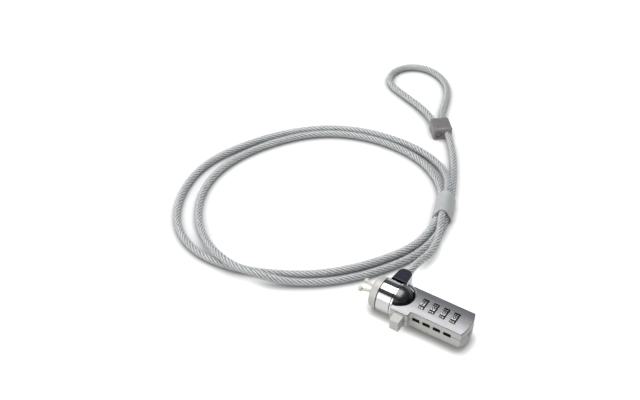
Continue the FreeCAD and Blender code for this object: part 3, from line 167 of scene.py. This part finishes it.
def smooth_line(name, route, step):
    """Points a given step apart on the quadratic NURBS line whose control points are the route's."""
    curve = bpy.data.curves.new(name, "CURVE")
    curve.dimensions = "3D"
    curve.resolution_u = 24
    spline = curve.splines.new("NURBS")
    spline.points.add(len(route) - 1)
    for point, place in zip(spline.points, route):
        point.co = (*[c / 1000 for c in place], 1)
    spline.order_u = 3
    spline.use_endpoint_u = True
    holder = bpy.data.objects.new(name, curve)
    scene.collection.objects.link(holder)
    bpy.context.view_layer.update()
    line = bpy.data.meshes.new_from_object(holder)
    raw = np.array([v.co[:] for v in line.vertices])
    bpy.data.objects.remove(holder)
    bpy.data.meshes.remove(line)
    run = np.concatenate([[0], np.cumsum(np.linalg.norm(np.diff(raw, axis=0), axis=1))])
    at = np.linspace(0, run[-1], int(run[-1] / step) + 1)
    return np.stack([np.interp(at, run, raw[:, i]) for i in range(3)], axis=1), run[-1]


def cross_vectors(line):
    """Two unit vectors across the line at each point: the first stays level, the second is square to it."""
    ahead = np.gradient(line, axis=0)
    ahead /= np.linalg.norm(ahead, axis=1, keepdims=True)
    level = np.cross(ahead, [0, 0, 1.0])
    level /= np.linalg.norm(level, axis=1, keepdims=True)
    return level, np.cross(level, ahead)


def tube(name, line, radius, sides):
    """A round tube: each ring is the line's point plus radius times a turn through the two cross vectors."""
    level, rise = cross_vectors(line)
    turn = np.linspace(0, 2 * np.pi, sides, endpoint=False)
    ring = level[:, None] * np.cos(turn)[None, :, None] + rise[:, None] * np.sin(turn)[None, :, None]
    return surface(name, line[:, None] + radius * ring, caps=True)


def stranded_rope(name, line, step):
    """Strands laid to the right: the radius follows the outline of circles set side by side on a ring,
    centre * cos(a) + sqrt(strand^2 - (centre * sin(a))^2) at the angle a from a strand's middle, and the ring
    turns once in each lay length."""
    level, rise = cross_vectors(line)
    turn = np.linspace(0, 2 * np.pi, STRANDS * POINTS_ON_STRAND, endpoint=False)
    half_angle = math.pi / STRANDS
    strand = ROPE_RADIUS * math.sin(half_angle) / (1 + math.sin(half_angle))
    centre = ROPE_RADIUS - strand
    aside = (turn * STRANDS / (2 * np.pi) % 1 - 0.5) * 2 * half_angle
    height = centre * np.cos(aside) + np.sqrt(np.maximum(strand**2 - (centre * np.sin(aside)) ** 2, 0))
    angle = turn[None] - (2 * np.pi * np.arange(len(line)) * step / LAY_LENGTH)[:, None]
    ring = level[:, None] * np.cos(angle)[..., None] + rise[:, None] * np.sin(angle)[..., None]
    length = len(line) * step
    points = line[:, None] + height[None, :, None] * ring
    return surface(name, points, caps=True, uv=(STRANDS, length / LAY_LENGTH))


# Galvanised steel wire, cold drawn and dull from its zinc: a soft light grey, with painted shade that deepens
# from each strand's crown into the groove between two strands. U counts the strands and a groove is at each
# whole number, so its distance from U draws it. Noise in lumps of 1.5 mm makes the painted shade in the
# grooves wider and narrower, as if wires stood a little higher or lower.
WIRE_LUMPS_PER_METRE = 650.0
WIRE_UNEVENNESS = 0.4
strand_steel, tree, shader = new_material("galvanised_steel_strand", metallic=0.3, roughness=0.42)
along_strand = add(tree, "ShaderNodeUVMap", {}, uv_map="UVMap")
strand_count = add(tree, "ShaderNodeSeparateXYZ", {"Vector": along_strand["UV"]})
share = add(tree, "ShaderNodeMath", {0: strand_count["X"]}, operation="FRACT")
from_middle = add(tree, "ShaderNodeMath", {0: share[0], 1: 0.5}, operation="SUBTRACT")
aside = add(tree, "ShaderNodeMath", {0: from_middle[0]}, operation="ABSOLUTE")
place = add(tree, "ShaderNodeTexCoord", {})["Object"]
wires = add(tree, "ShaderNodeTexNoise", {"Vector": place, "Scale": WIRE_LUMPS_PER_METRE, "Detail": 2.0})
uneven = add(tree, "ShaderNodeMath", {
    0: wires["Fac"], 1: WIRE_UNEVENNESS, 2: aside[0]}, operation="MULTIPLY_ADD")
shaded = add(tree, "ShaderNodeValToRGB", {"Fac": uneven[0]},
             steps=[(0.34, "e4e6e7"), (0.5, "bec0c2"), (0.66, "6c6e71")])
feed(shader, {"Base Color": shaded[0]})

# Plasticised PVC, extruded clear: a thin skin that veils the strands a little and keeps a soft shine.
# Clouds 4 mm long change its tone.
CLOUD_LENGTH = 4.0
clear_pvc, tree, shader = new_material("clear_PVC", roughness=0.28, IOR=1.53, Alpha=0.26)
place = add(tree, "ShaderNodeTexCoord", {})["Object"]
clouds = add(tree, "ShaderNodeTexNoise", {"Vector": place, "Scale": 1000 / CLOUD_LENGTH, "Detail": 2.0})
veiled = add(tree, "ShaderNodeValToRGB", {"Fac": clouds["Fac"]}, steps=[(0.3, "dadddd"), (0.7, "eceeee")])
feed(shader, {"Base Color": veiled[0]})

for label, node, route, exit_point, length, end in (
    ("cable", "cable", CABLE_ROUTE, (-0.03375, 0.0136, 0.0107), 1.231, "fitting"),
    ("eye", "eye_loop", EYE_ROUTE, (-0.0862, 0.1786, 0.00475), 0.203, "object"),
):
    line, run = smooth_line(label + "_line", route, STEP)
    rope = stranded_rope(label + "_strands", line, run / (len(line) - 1))
    rope.data.materials.append(strand_steel)
    coat_line = line[::2] if len(line) % 2 else np.vstack([line[::2], line[-1:]])
    coat = tube(label + "_coat", coat_line, CABLE_DIAMETER / 2, COAT_SIDES)
    coat.data.materials.append(clear_pvc)
    for piece in (rope, coat):
        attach(piece, "cable_end")
        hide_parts(node)


def dress(material, *names):
    """The CAD nodes of these names take the material."""
    for name in names:
        nodes[name].data.materials.clear()
        nodes[name].data.materials.append(material)


def skin(name, light, dark, grit, depth, metallic, roughness, **sockets):
    """A cast, blasted or moulded skin: noise with lumps of the grit's size shifts its colour between two
    tones and lifts it by the depth, both in millimetres. Returns the material, its tree, its shader, and
    the outputs that hold the place and the colour."""
    material, tree, shader = new_material(name, metallic, roughness, **sockets)
    place = add(tree, "ShaderNodeTexCoord", {})["Object"]
    lumps = add(tree, "ShaderNodeTexNoise", {"Vector": place, "Scale": 1000 / grit, "Detail": 3.0})
    colour = add(tree, "ShaderNodeValToRGB", {"Fac": lumps["Fac"]}, steps=[(0.3, dark), (0.7, light)])[0]
    relief = add(tree, "ShaderNodeBump", {"Height": lumps["Fac"], "Strength": 0.5, "Distance": depth / 1000})
    feed(shader, {"Base Color": colour, "Normal": relief["Normal"]})
    return material, tree, shader, place, colour


# The ferrule: a zinc block with two bores, crimped over the cable and its bent-back end, then blasted.
# Its skin is dull and warm grey, mottled in patches of about 1 mm.
blasted_zinc = skin(
    "blasted_zinc_casting", "9b9798", "7c797a", grit=1.1, depth=0.06, metallic=0.3, roughness=0.42)[0]
dress(blasted_zinc, "ferrule")

# The cable's cut end in the ferrule's second bore: sealed with a drop of grey epoxy that sits 0.6 mm
# inside the mouth and is crowned by 0.4 mm. It sets dull and a little darker than the ferrule.
BORE_MOUTH = (-0.0859, 0.1675, 0.00475)
BORE_HEADING = math.radians(131)
# Millimetres from the bore's axis and from its mouth. The profile is turned about that axis.
SEAL_PROFILE = [
    (0.02, 0.2), (0.7, 0.23), (1.4, 0.3), (2.1, 0.43), (2.6, 0.6), (2.75, 0.8), (2.75, 2.2), (0.02, 2.2)]
SEAL_SIDES = 32
reach, depth = np.array(SEAL_PROFILE).T / 1000
turn = np.linspace(0, 2 * np.pi, SEAL_SIDES, endpoint=False)
inward = np.array([math.cos(BORE_HEADING), math.sin(BORE_HEADING), 0])
aside = np.array([-math.sin(BORE_HEADING), math.cos(BORE_HEADING), 0])
spokes = aside * np.cos(turn)[:, None] + np.array([0, 0, 1.0]) * np.sin(turn)[:, None]
seal_points = np.array(BORE_MOUTH) + inward * depth[:, None, None] + reach[:, None, None] * spokes[None]
seal = surface("cut_end_seal", seal_points[:, ::-1], caps=True)
grey_epoxy = skin("grey_epoxy", "8f8986", "746f6c", grit=0.8, depth=0.05, metallic=0.0, roughness=0.45)[0]
seal.data.materials.append(grey_epoxy)
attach(seal, "cable_end")

# The band that holds the turns together: clear polyethylene film wound round three runs of the cable
# and shrunk on, hazy enough to veil the strands.
hazy_film = skin(
    "shrunk_polyethylene_film", "e6e8e8", "d6d9d9", grit=6.0, depth=0.02, metallic=0.0, roughness=0.3,
    IOR=1.5, Alpha=0.66)[0]
dress(hazy_film, "coil_tie")

# The swivel collar: zinc turned and polished, then chromium plated. The plate mirrors the room, and fine
# wiping marks 2 mm apart break its shine a little. It turns on the neck tube, and its lug holds the cable.
AXIS_HEIGHT = 0.0107
# Painted shade, nearly black, crosses the root of the lug on top, up to a bright line in front of the panel.
LUG_SHADE_START = 0.0068
LUG_SHADE_END = 0.0118
LUG_SHADE_BOTTOM = 0.013
# Painted shade, nearly black, covers the inside of the barrel, its end faces and 0.3 mm of its rounded ends.
BARREL_MIDDLE = -0.03375
UNSHADED_HALF_LENGTH = 0.0045
BARREL_INSIDE = 0.0104
BARREL_OUTSIDE = 0.01075


def wipe(tree, shader, place, spacing, low, high):
    """Marks a spacing apart, in millimetres, vary the shader's roughness between two values."""
    marks = add(tree, "ShaderNodeTexNoise", {"Vector": place, "Scale": 1000 / spacing, "Detail": 4.0})
    roughness = add(tree, "ShaderNodeMapRange", {"Value": marks["Fac"], "To Min": low, "To Max": high})
    feed(shader, {"Roughness": roughness[0]})


def from_axis(tree, place):
    """The step from the lock's long axis square out to the place: the place less a point of the axis, with
    its X made 0. Returns the step and its length."""
    step = add(tree, "ShaderNodeVectorMath", {0: place, 1: (0, 0, AXIS_HEIGHT)}, operation="SUBTRACT")
    step = add(tree, "ShaderNodeVectorMath", {0: step[0], 1: (0, 1, 1)}, operation="MULTIPLY")
    return step[0], add(tree, "ShaderNodeVectorMath", {0: step[0]}, operation="LENGTH")["Value"]


bright_chrome, tree, shader = new_material("bright_chrome_plate", metallic=1.0)
place = add(tree, "ShaderNodeTexCoord", {})["Object"]
wipe(tree, shader, place, spacing=2.0, low=0.04, high=0.14)
apart = add(tree, "ShaderNodeSeparateXYZ", {"Vector": place})
across = add(tree, "ShaderNodeMath", {
    0: apart["Y"], 1: (LUG_SHADE_START + LUG_SHADE_END) / 2, 2: (LUG_SHADE_END - LUG_SHADE_START) / 2,
}, operation="COMPARE")
on_top = add(tree, "ShaderNodeMath", {0: apart["Z"], 1: LUG_SHADE_BOTTOM}, operation="GREATER_THAN")
lug_shade = add(tree, "ShaderNodeMath", {0: across[0], 1: on_top[0]}, operation="MULTIPLY")
distance = from_axis(tree, place)[1]
unshaded = add(tree, "ShaderNodeMath", {
    0: apart["X"], 1: BARREL_MIDDLE, 2: UNSHADED_HALF_LENGTH}, operation="COMPARE")
limit = add(tree, "ShaderNodeMath", {
    0: unshaded[0], 1: BARREL_INSIDE - BARREL_OUTSIDE, 2: BARREL_OUTSIDE}, operation="MULTIPLY_ADD")
gap_shade = add(tree, "ShaderNodeMath", {0: distance, 1: limit[0]}, operation="LESS_THAN")
# Nearly black wherever painted shade falls: at the lug's root and at the barrel's ends and inside.
dark = add(tree, "ShaderNodeMath", {0: lug_shade[0], 1: gap_shade[0]}, operation="MAXIMUM")
feed(shader, {"Base Color": add(
    tree, "ShaderNodeMix", {0: dark[0], 6: linear("d2d2d0"), 7: linear("0c0c14")}, data_type="RGBA")[2]})
dress(bright_chrome, "swivel_collar")

# The rim between the ball and the collar: a ring turned, polished and plated like the collar, and pressed
# on the neck tube. It is a mirror with the faintest haze.
rim_chrome = skin(
    "bright_chrome_rim", "dcdcda", "cfcfcd", grit=2.0, depth=0.002, metallic=1.0, roughness=0.1)[0]
dress(rim_chrome, "rim_ring")

# The dark face let into the lug: moulded ABS under navy lacquer, nearly black, in which metal flakes
# sparkle a little. They are drawn 0.6 mm across so that they show.
flake_navy = skin(
    "navy_flake_ABS", "262b44", "070911", grit=0.6, depth=0.02, metallic=0.0, roughness=0.5,
    Specular_IOR_Level=0.3)[0]
dress(flake_navy, "lug_panel")

# The ball with its neck tube: brass turned, satined and plated with black nickel, which makes a dark, soft
# mirror. The two halves of the housing hold it. Painted shade, nearly black at its seat, thins out over the
# lowest 2.5 mm that show.
FOOT_SHADE_LOW = 0.0174
FOOT_SHADE_TOP = 0.0199
black_nickel, tree, shader = new_material("black_nickel_plate", metallic=1.0)
place = add(tree, "ShaderNodeTexCoord", {})["Object"]
wipe(tree, shader, place, spacing=2.5, low=0.25, high=0.3)
apart = add(tree, "ShaderNodeSeparateXYZ", {"Vector": place})
# Painted shade darkens the ball towards its seat.
out_of_shade = add(tree, "ShaderNodeMapRange", {"Value": apart["Z"], "From Min": FOOT_SHADE_LOW, "From Max": FOOT_SHADE_TOP})
feed(shader, {"Base Color": add(
    tree, "ShaderNodeMix", {0: out_of_shade[0], 6: linear("202022"), 7: linear("747476")}, data_type="RGBA")[2]})
dress(black_nickel, "ball_neck")

# The seat ring round the ball: brass turned to a cone 3.2 mm high that closes the gap between the ball and
# the face plate's round cut-out, and stops at the rim. Its satin nickel plate has a soft, pale sheen.
BALL_X = -0.0276
# Millimetres from the ball's upright axis and from the table. The profile is carried round that axis.
SEAT_PROFILE = [(10.85, 17.45), (10.85, 17.58), (10.7, 17.6), (9.75, 15.6), (9.95, 15.4), (10.85, 14.4)]
SEAT_HALF_TURN = 86
around_ball = np.radians(np.linspace(-SEAT_HALF_TURN, SEAT_HALF_TURN, SEAT_HALF_TURN + 1))
reach, height = np.array(SEAT_PROFILE).T / 1000
seat_points = np.stack([
    BALL_X + reach[None] * np.cos(around_ball)[:, None],
    reach[None] * np.sin(around_ball)[:, None],
    np.repeat(height[None], len(around_ball), axis=0),
], axis=2)
seat_ring = surface("ball_seat", seat_points, caps=True)
nickel_plate = skin(
    "satin_nickel_plate", "cfd0d2", "bcbdc0", grit=0.4, depth=0.01, metallic=0.6, roughness=0.32)[0]
seat_ring.data.materials.append(nickel_plate)
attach(seat_ring, "lock_body")

# The head cap and the push button: zinc die castings under satin silver lacquer, whose grain of 0.35 mm
# gives a soft, slightly warm sheen. The cap sits over the neck tube's end, the button slides in its guard.
LACQUER = dict(light="d8d8d4", dark="c8c8c4", grit=0.35, depth=0.015, metallic=0.15, roughness=0.4)
satin_lacquer = skin("satin_lacquered_zinc", **LACQUER)[0]
dress(satin_lacquer, "head_cap", "push_button")

# The two hooks: steel blanked from sheet and nickel plated, warm white beside the lacquer. Both turn on
# one pin that is pressed across the neck tube.
nickel = skin(
    "nickel_plated_steel", "e6e3d8", "d2cfc4", grit=0.6, depth=0.01, metallic=0.4, roughness=0.34)[0]
dress(nickel, "hook_far", "hook_near")

# The two halves of the housing: zinc die castings under the same lacquer. They meet at 12.2 mm above the
# table, where painted shade draws the crease between the rounded lips of both as a thin dark line 0.35 mm
# high. Inside, round the wheels, painted shade makes the casting dark grey.
PARTING = 0.0122
SEAM = 0.00035
SHADED_INSIDE_RADIUS = 0.0096
SHADED_INSIDE_LENGTH = 0.029
shell_lacquer, tree, shader, place, colour = skin("lacquered_zinc_shell", **LACQUER)
apart = add(tree, "ShaderNodeSeparateXYZ", {"Vector": place})
# Painted shade along the crease where the two halves meet.
at_seam = add(tree, "ShaderNodeMath", {0: apart["Z"], 1: PARTING, 2: SEAM / 2}, operation="COMPARE")
lined = add(tree, "ShaderNodeMix", {0: at_seam[0], 6: colour, 7: linear("4a4a46")}, data_type="RGBA")
distance = from_axis(tree, place)[1]
# Painted shade, dark grey, inside the housing round the wheels.
inside = add(tree, "ShaderNodeMath", {0: distance, 1: SHADED_INSIDE_RADIUS}, operation="LESS_THAN")
beside = add(tree, "ShaderNodeMath", {0: apart["X"], 1: 0.0, 2: SHADED_INSIDE_LENGTH / 2}, operation="COMPARE")
inside_shade = add(tree, "ShaderNodeMath", {0: inside[0], 1: beside[0]}, operation="MULTIPLY")
feed(shader, {"Base Color": add(
    tree, "ShaderNodeMix", {0: inside_shade[0], 6: lined[2], 7: linear("2e2e2e")}, data_type="RGBA")[2]})
dress(shell_lacquer, "lower_housing", "upper_housing")

# The face plate: stainless sheet, blanked, crowned to a radius of 50 mm and brushed along the lock, so
# that lights smear across it. Painted shade makes its sheared edges dark in the four windows and at the end.
CROWN_RADIUS = 0.05
# The marks are 15 mm long and 0.1 mm wide, drawn 0.25 mm wide so that they show.
BRUSH_MARKS_PER_METRE = (66.0, 4000.0, 66.0)
BRUSH_DEPTH = 0.000004
WINDOWS_HALF_WIDTH = 0.0055
WINDOWS_HALF_LENGTH = 0.0135
# A normal points to an axis where its part along it is over this, and away from it where it is under.
LEAN_LIMIT = 0.5
brushed_sheet, tree, shader = new_material("brushed_stainless_sheet", metallic=1.0, roughness=0.43)
place = add(tree, "ShaderNodeTexCoord", {})["Object"]
stretch = add(tree, "ShaderNodeMapping", {"Vector": place, "Scale": BRUSH_MARKS_PER_METRE})
brush = add(tree, "ShaderNodeTexNoise", {"Vector": stretch[0], "Scale": 1.0, "Detail": 2.0})
streaks = add(tree, "ShaderNodeValToRGB", {"Fac": brush["Fac"]}, steps=[(0.3, "8d8d8f"), (0.7, "acacae")])
facing = add(tree, "ShaderNodeNewGeometry", {})
sides = add(tree, "ShaderNodeSeparateXYZ", {"Vector": facing["Normal"]})
# Painted shade on the end edge and on the walls of the windows.
to_end = add(tree, "ShaderNodeMath", {0: sides["X"], 1: LEAN_LIMIT}, operation="GREATER_THAN")
upright = add(tree, "ShaderNodeMath", {0: sides["Z"], 1: 0.0, 2: LEAN_LIMIT}, operation="COMPARE")
apart = add(tree, "ShaderNodeSeparateXYZ", {"Vector": place})
amid = add(tree, "ShaderNodeMath", {0: apart["Y"], 1: 0.0, 2: WINDOWS_HALF_WIDTH}, operation="COMPARE")
beside = add(tree, "ShaderNodeMath", {0: apart["X"], 1: 0.0, 2: WINDOWS_HALF_LENGTH}, operation="COMPARE")
in_window = add(tree, "ShaderNodeMath", {0: amid[0], 1: beside[0]}, operation="MULTIPLY")
in_window = add(tree, "ShaderNodeMath", {0: in_window[0], 1: upright[0]}, operation="MULTIPLY")
edge_shade = add(tree, "ShaderNodeMath", {0: to_end[0], 1: in_window[0]}, operation="MAXIMUM")
edge = add(tree, "ShaderNodeMix", {0: edge_shade[0], 6: streaks[0], 7: linear("2b2c2e")}, data_type="RGBA")
squared = add(tree, "ShaderNodeMath", {0: apart["Y"], 1: apart["Y"]}, operation="MULTIPLY")
crown = add(tree, "ShaderNodeMath", {0: squared[0], 1: -1 / (2 * CROWN_RADIUS)}, operation="MULTIPLY")
relief = add(tree, "ShaderNodeMath", {0: brush["Fac"], 1: BRUSH_DEPTH, 2: crown[0]}, operation="MULTIPLY_ADD")
bent = add(tree, "ShaderNodeBump", {"Height": relief[0], "Strength": 1.0, "Distance": 1.0})
feed(shader, {"Base Color": edge[2], "Normal": bent["Normal"]})
dress(brushed_sheet, "face_plate")

# The four number wheels: zinc turned with ten grip grooves and plated with satin nickel, a soft shine with
# a grain of 0.3 mm. Painted shade, nearly black, fills the grooves and covers the flanks and a ring 0.85 mm
# wide beside the numerals, for the shade in the gaps of the windows. The code sleeves inside and the thrust
# washer are turned brass, yellow and softly shining.
BAND_RADIUS = 0.0073
WHEEL_STEP = 0.007
SHADED_BELOW_RADIUS = 0.00715
RING_START = 0.0008
NUMBER_ANGLE = 2 * math.pi / 10
GROOVE_HALF_ANGLE = math.radians(4.5)
satin_nickel, tree, shader, place, colour = skin(
    "satin_nickel_wheel", "dededb", "cbcbc8", grit=0.3, depth=0.01, metallic=0.35, roughness=0.34)
step, distance = from_axis(tree, place)
sunk = add(tree, "ShaderNodeMath", {0: distance, 1: SHADED_BELOW_RADIUS}, operation="LESS_THAN")
round_axis = add(tree, "ShaderNodeSeparateXYZ", {"Vector": step})
# The angle round the axis, counted from straight up, falls in one of ten equal parts.
angle = add(tree, "ShaderNodeMath", {0: round_axis["Y"], 1: round_axis["Z"]}, operation="ARCTAN2")
angle = add(tree, "ShaderNodeMath", {0: angle[0], 1: 2 * math.pi}, operation="ADD")
angle = add(tree, "ShaderNodeMath", {0: angle[0], 1: NUMBER_ANGLE}, operation="MODULO")
grooved = add(tree, "ShaderNodeMath", {
    0: angle[0], 1: NUMBER_ANGLE / 2, 2: GROOVE_HALF_ANGLE}, operation="COMPARE")
apart = add(tree, "ShaderNodeSeparateXYZ", {"Vector": place})
shifted = add(tree, "ShaderNodeMath", {0: apart["X"], 1: 2 * WHEEL_STEP}, operation="ADD")
in_step = add(tree, "ShaderNodeMath", {0: shifted[0], 1: WHEEL_STEP}, operation="MODULO")
ringed = add(tree, "ShaderNodeMath", {
    0: in_step[0], 1: WHEEL_STEP / 2 + RING_START}, operation="GREATER_THAN")
# Painted shade, nearly black, in the grooves, on the flanks and on the ring.
wheel_shade = add(tree, "ShaderNodeMath", {0: sunk[0], 1: ringed[0]}, operation="MAXIMUM")
wheel_shade = add(tree, "ShaderNodeMath", {0: wheel_shade[0], 1: grooved[0]}, operation="MAXIMUM")
feed(shader, {"Base Color": add(
    tree, "ShaderNodeMix", {0: wheel_shade[0], 6: colour, 7: linear("101011")}, data_type="RGBA")[2]})
turned_brass = skin("turned_brass", "c2a05f", "a68549", grit=0.3, depth=0.01, metallic=1.0, roughness=0.3)[0]
for number in (1, 2, 3, 4):
    dress(satin_nickel, f"dial_{number}")
    dress(turned_brass, f"sleeve_{number}")
dress(turned_brass, "thrust_washer")

# The numerals: stamped in each wheel between two grooves and filled with glossy black enamel, 0.03 mm
# proud, 2.8 mm high and left of the wheel's middle. The first wheel shows 2 and the others 0.
NUMERAL_HEIGHT = 0.0028
NUMERAL_SHIFT = -0.00045
FIRST_NUMERALS = (2, 0, 0, 0)
CAP_SHARE = 0.73
ENAMEL_PROUD = 0.00003
STROKE_GROWTH = 0.00015
STRIP = 0.0003
CUTS_REACH = 0.0021
black_enamel = skin(
    "black_enamel", "1a1a1b", "0e0e0f", grit=0.2, depth=0.003, metallic=0.0, roughness=0.35)[0]


def numeral(digit):
    """The flat outline of a digit as a thin closed mesh, cut into strips so that it can bend round the
    wheel; returns its points, centred, and its faces."""
    text = bpy.data.curves.new("numeral", "FONT")
    text.body = str(digit)
    text.align_x = "CENTER"
    text.align_y = "CENTER"
    text.size = NUMERAL_HEIGHT / CAP_SHARE
    text.extrude = ENAMEL_PROUD
    text.offset = STROKE_GROWTH
    text.resolution_u = 3
    holder = bpy.data.objects.new("numeral", text)
    scene.collection.objects.link(holder)
    bpy.context.view_layer.update()
    flat = bpy.data.meshes.new_from_object(holder)
    bpy.data.objects.remove(holder)
    shape = bmesh.new()
    shape.from_mesh(flat)
    bpy.data.meshes.remove(flat)
    bmesh.ops.remove_doubles(shape, verts=shape.verts, dist=1e-7)
    for height in np.arange(-CUTS_REACH, CUTS_REACH, STRIP):
        everything = shape.verts[:] + shape.edges[:] + shape.faces[:]
        bmesh.ops.bisect_plane(shape, geom=everything, plane_co=(0, height, 0), plane_no=(0, 1, 0))
    bmesh.ops.triangulate(shape, faces=shape.faces)
    shape.verts.index_update()
    points = np.array([v.co[:] for v in shape.verts])
    faces = [[v.index for v in f.verts] for f in shape.faces]
    shape.free()
    points[:, :2] -= (points[:, :2].min(0) + points[:, :2].max(0)) / 2
    return points, faces


NUMERALS = [numeral(digit) for digit in range(10)]
for number in (1, 2, 3, 4):
    middle = WHEEL_STEP * (number - 2.5) + NUMERAL_SHIFT
    all_points, all_faces, count = [], [], 0
    for place_number in range(10):
        points, faces = NUMERALS[(FIRST_NUMERALS[number - 1] + place_number) % 10]
        turn = NUMBER_ANGLE * place_number + points[:, 1] / BAND_RADIUS
        reach = BAND_RADIUS + points[:, 2]
        all_points.append(np.stack(
            [middle + points[:, 0], reach * np.sin(turn), AXIS_HEIGHT + reach * np.cos(turn)], axis=1))
        all_faces += [[i + count for i in f] for f in faces]
        count += len(points)
    mesh = bpy.data.meshes.new(f"numerals_{number}")
    mesh.from_pydata(np.vstack(all_points).tolist(), [], all_faces)
    mesh.materials.append(black_enamel)
    ring = bpy.data.objects.new(f"numerals_{number}", mesh)
    scene.collection.objects.link(ring)
    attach(ring, f"wheel_{number}")

# The parts inside and the code-change screw: steel turned, wound or blanked, grey with a grain of 0.2 mm
# from the tools. None has a coat.
turned_steel = skin("turned_steel", "a6a6a8", "8d8d90", grit=0.2, depth=0.01, metallic=1.0, roughness=0.32)[0]
dress(turned_steel, "cable_stop", "hook_pin", "hook_spreader", "spindle", "spring_seat", "spindle_spring",
      "button_pin", "button_spring", "detent_spring", "change_screw", "change_plate", "housing_pins")


# The table: a sheet of matt white card. For the camera and through clear plastic it glows a little where
# it is open to the room within 6 mm, so that it stays white, yet dark close under the object. Mirrors see
# a small share of that glow, and the card throws a softer light back at the object.
TABLE_REACH = 3
CREVICE_REACH = 0.006
CREVICE_POWER = 2.1
GLOW = 0.8
GLOW_SHARE_OF_MIRRORS = 0.16
board_mesh = bpy.data.meshes.new("table")
corners = [(-TABLE_REACH, -TABLE_REACH, 0), (TABLE_REACH, -TABLE_REACH, 0),
           (TABLE_REACH, TABLE_REACH, 0), (-TABLE_REACH, TABLE_REACH, 0)]
board_mesh.from_pydata(corners, [], [(0, 1, 2, 3)])
board = bpy.data.objects.new("table", board_mesh)
scene.collection.objects.link(board)
white_card, tree, shader = new_material("white_card", roughness=0.9)
path = add(tree, "ShaderNodeLightPath", {})
seen = add(tree, "ShaderNodeMath", {
    0: path["Is Camera Ray"], 1: path["Is Transmission Ray"]}, operation="MAXIMUM")
glowing = add(tree, "ShaderNodeMath", {
    0: path["Is Glossy Ray"], 1: GLOW_SHARE_OF_MIRRORS, 2: seen[0]}, operation="MULTIPLY_ADD")
paper = add(tree, "ShaderNodeMix", {
    0: path["Is Glossy Ray"], 6: linear("8a8a8a"), 7: linear("fafafa")}, data_type="RGBA")
paper = add(tree, "ShaderNodeMix", {0: seen[0], 6: paper[2], 7: linear("b8b8b8")}, data_type="RGBA")
openness = add(tree, "ShaderNodeAmbientOcclusion", {"Distance": CREVICE_REACH}, samples=12)
crevice = add(tree, "ShaderNodeMath", {0: openness["AO"], 1: CREVICE_POWER}, operation="POWER")
glow = add(tree, "ShaderNodeMath", {0: glowing[0], 1: crevice[0]}, operation="MULTIPLY")
glow = add(tree, "ShaderNodeMath", {0: glow[0], 1: GLOW}, operation="MULTIPLY")
feed(shader, {"Base Color": paper[2], "Emission Color": (1, 1, 1, 1), "Emission Strength": glow[0]})
board.data.materials.append(white_card)

# The studio: white low down all round, light in front and dim behind and above, with a softbox over the
# lock and a wider, weaker one at its near left. Polished metal shows white patches between dark bands.
world = bpy.data.worlds.new("studio")
scene.world = world
world.use_nodes = True
tree = world.node_tree
direction = add(tree, "ShaderNodeTexCoord", {})
part = add(tree, "ShaderNodeSeparateXYZ", {"Vector": direction["Generated"]})
behind = add(tree, "ShaderNodeValToRGB", {"Fac": part["Z"]},
             steps=[(0.0, "ffffff"), (0.09, "f6f6f6"), (0.19, "8c9098"), (0.42, "565960")])
in_front = add(tree, "ShaderNodeValToRGB", {"Fac": part["Z"]},
               steps=[(0.0, "ffffff"), (0.1, "e4e3df"), (0.55, "d8d7d3"), (0.66, "4a4d54")])
turned = add(tree, "ShaderNodeMapRange", {"Value": part["Y"], "From Min": -0.25, "From Max": 0.15})
room = add(tree, "ShaderNodeMix", {0: turned["Result"], 6: in_front[0], 7: behind[0]}, data_type="RGBA")
feed(tree.nodes["Background"], {"Color": room[2]})

for label, width, depth, power, spot, aim in (
    ("overhead_softbox", 1.0, 0.85, 8.0, (-0.28, 0.2, 0.95), (-0.28, 0.05, 0)),
    ("near_softbox", 1.5, 0.8, 4.2, (-0.35, -0.95, 0.5), (-0.05, 0.05, 0)),
):
    light = bpy.data.lights.new(label, "AREA")
    light.shape = "RECTANGLE"
    light.size = width
    light.size_y = depth
    light.energy = power
    lamp = bpy.data.objects.new(label, light)
    lamp.location = spot
    lamp.rotation_euler = (Vector(aim) - Vector(spot)).to_track_quat("-Z", "Y").to_euler()
    scene.collection.objects.link(lamp)

scene.view_settings.view_transform = "Standard"
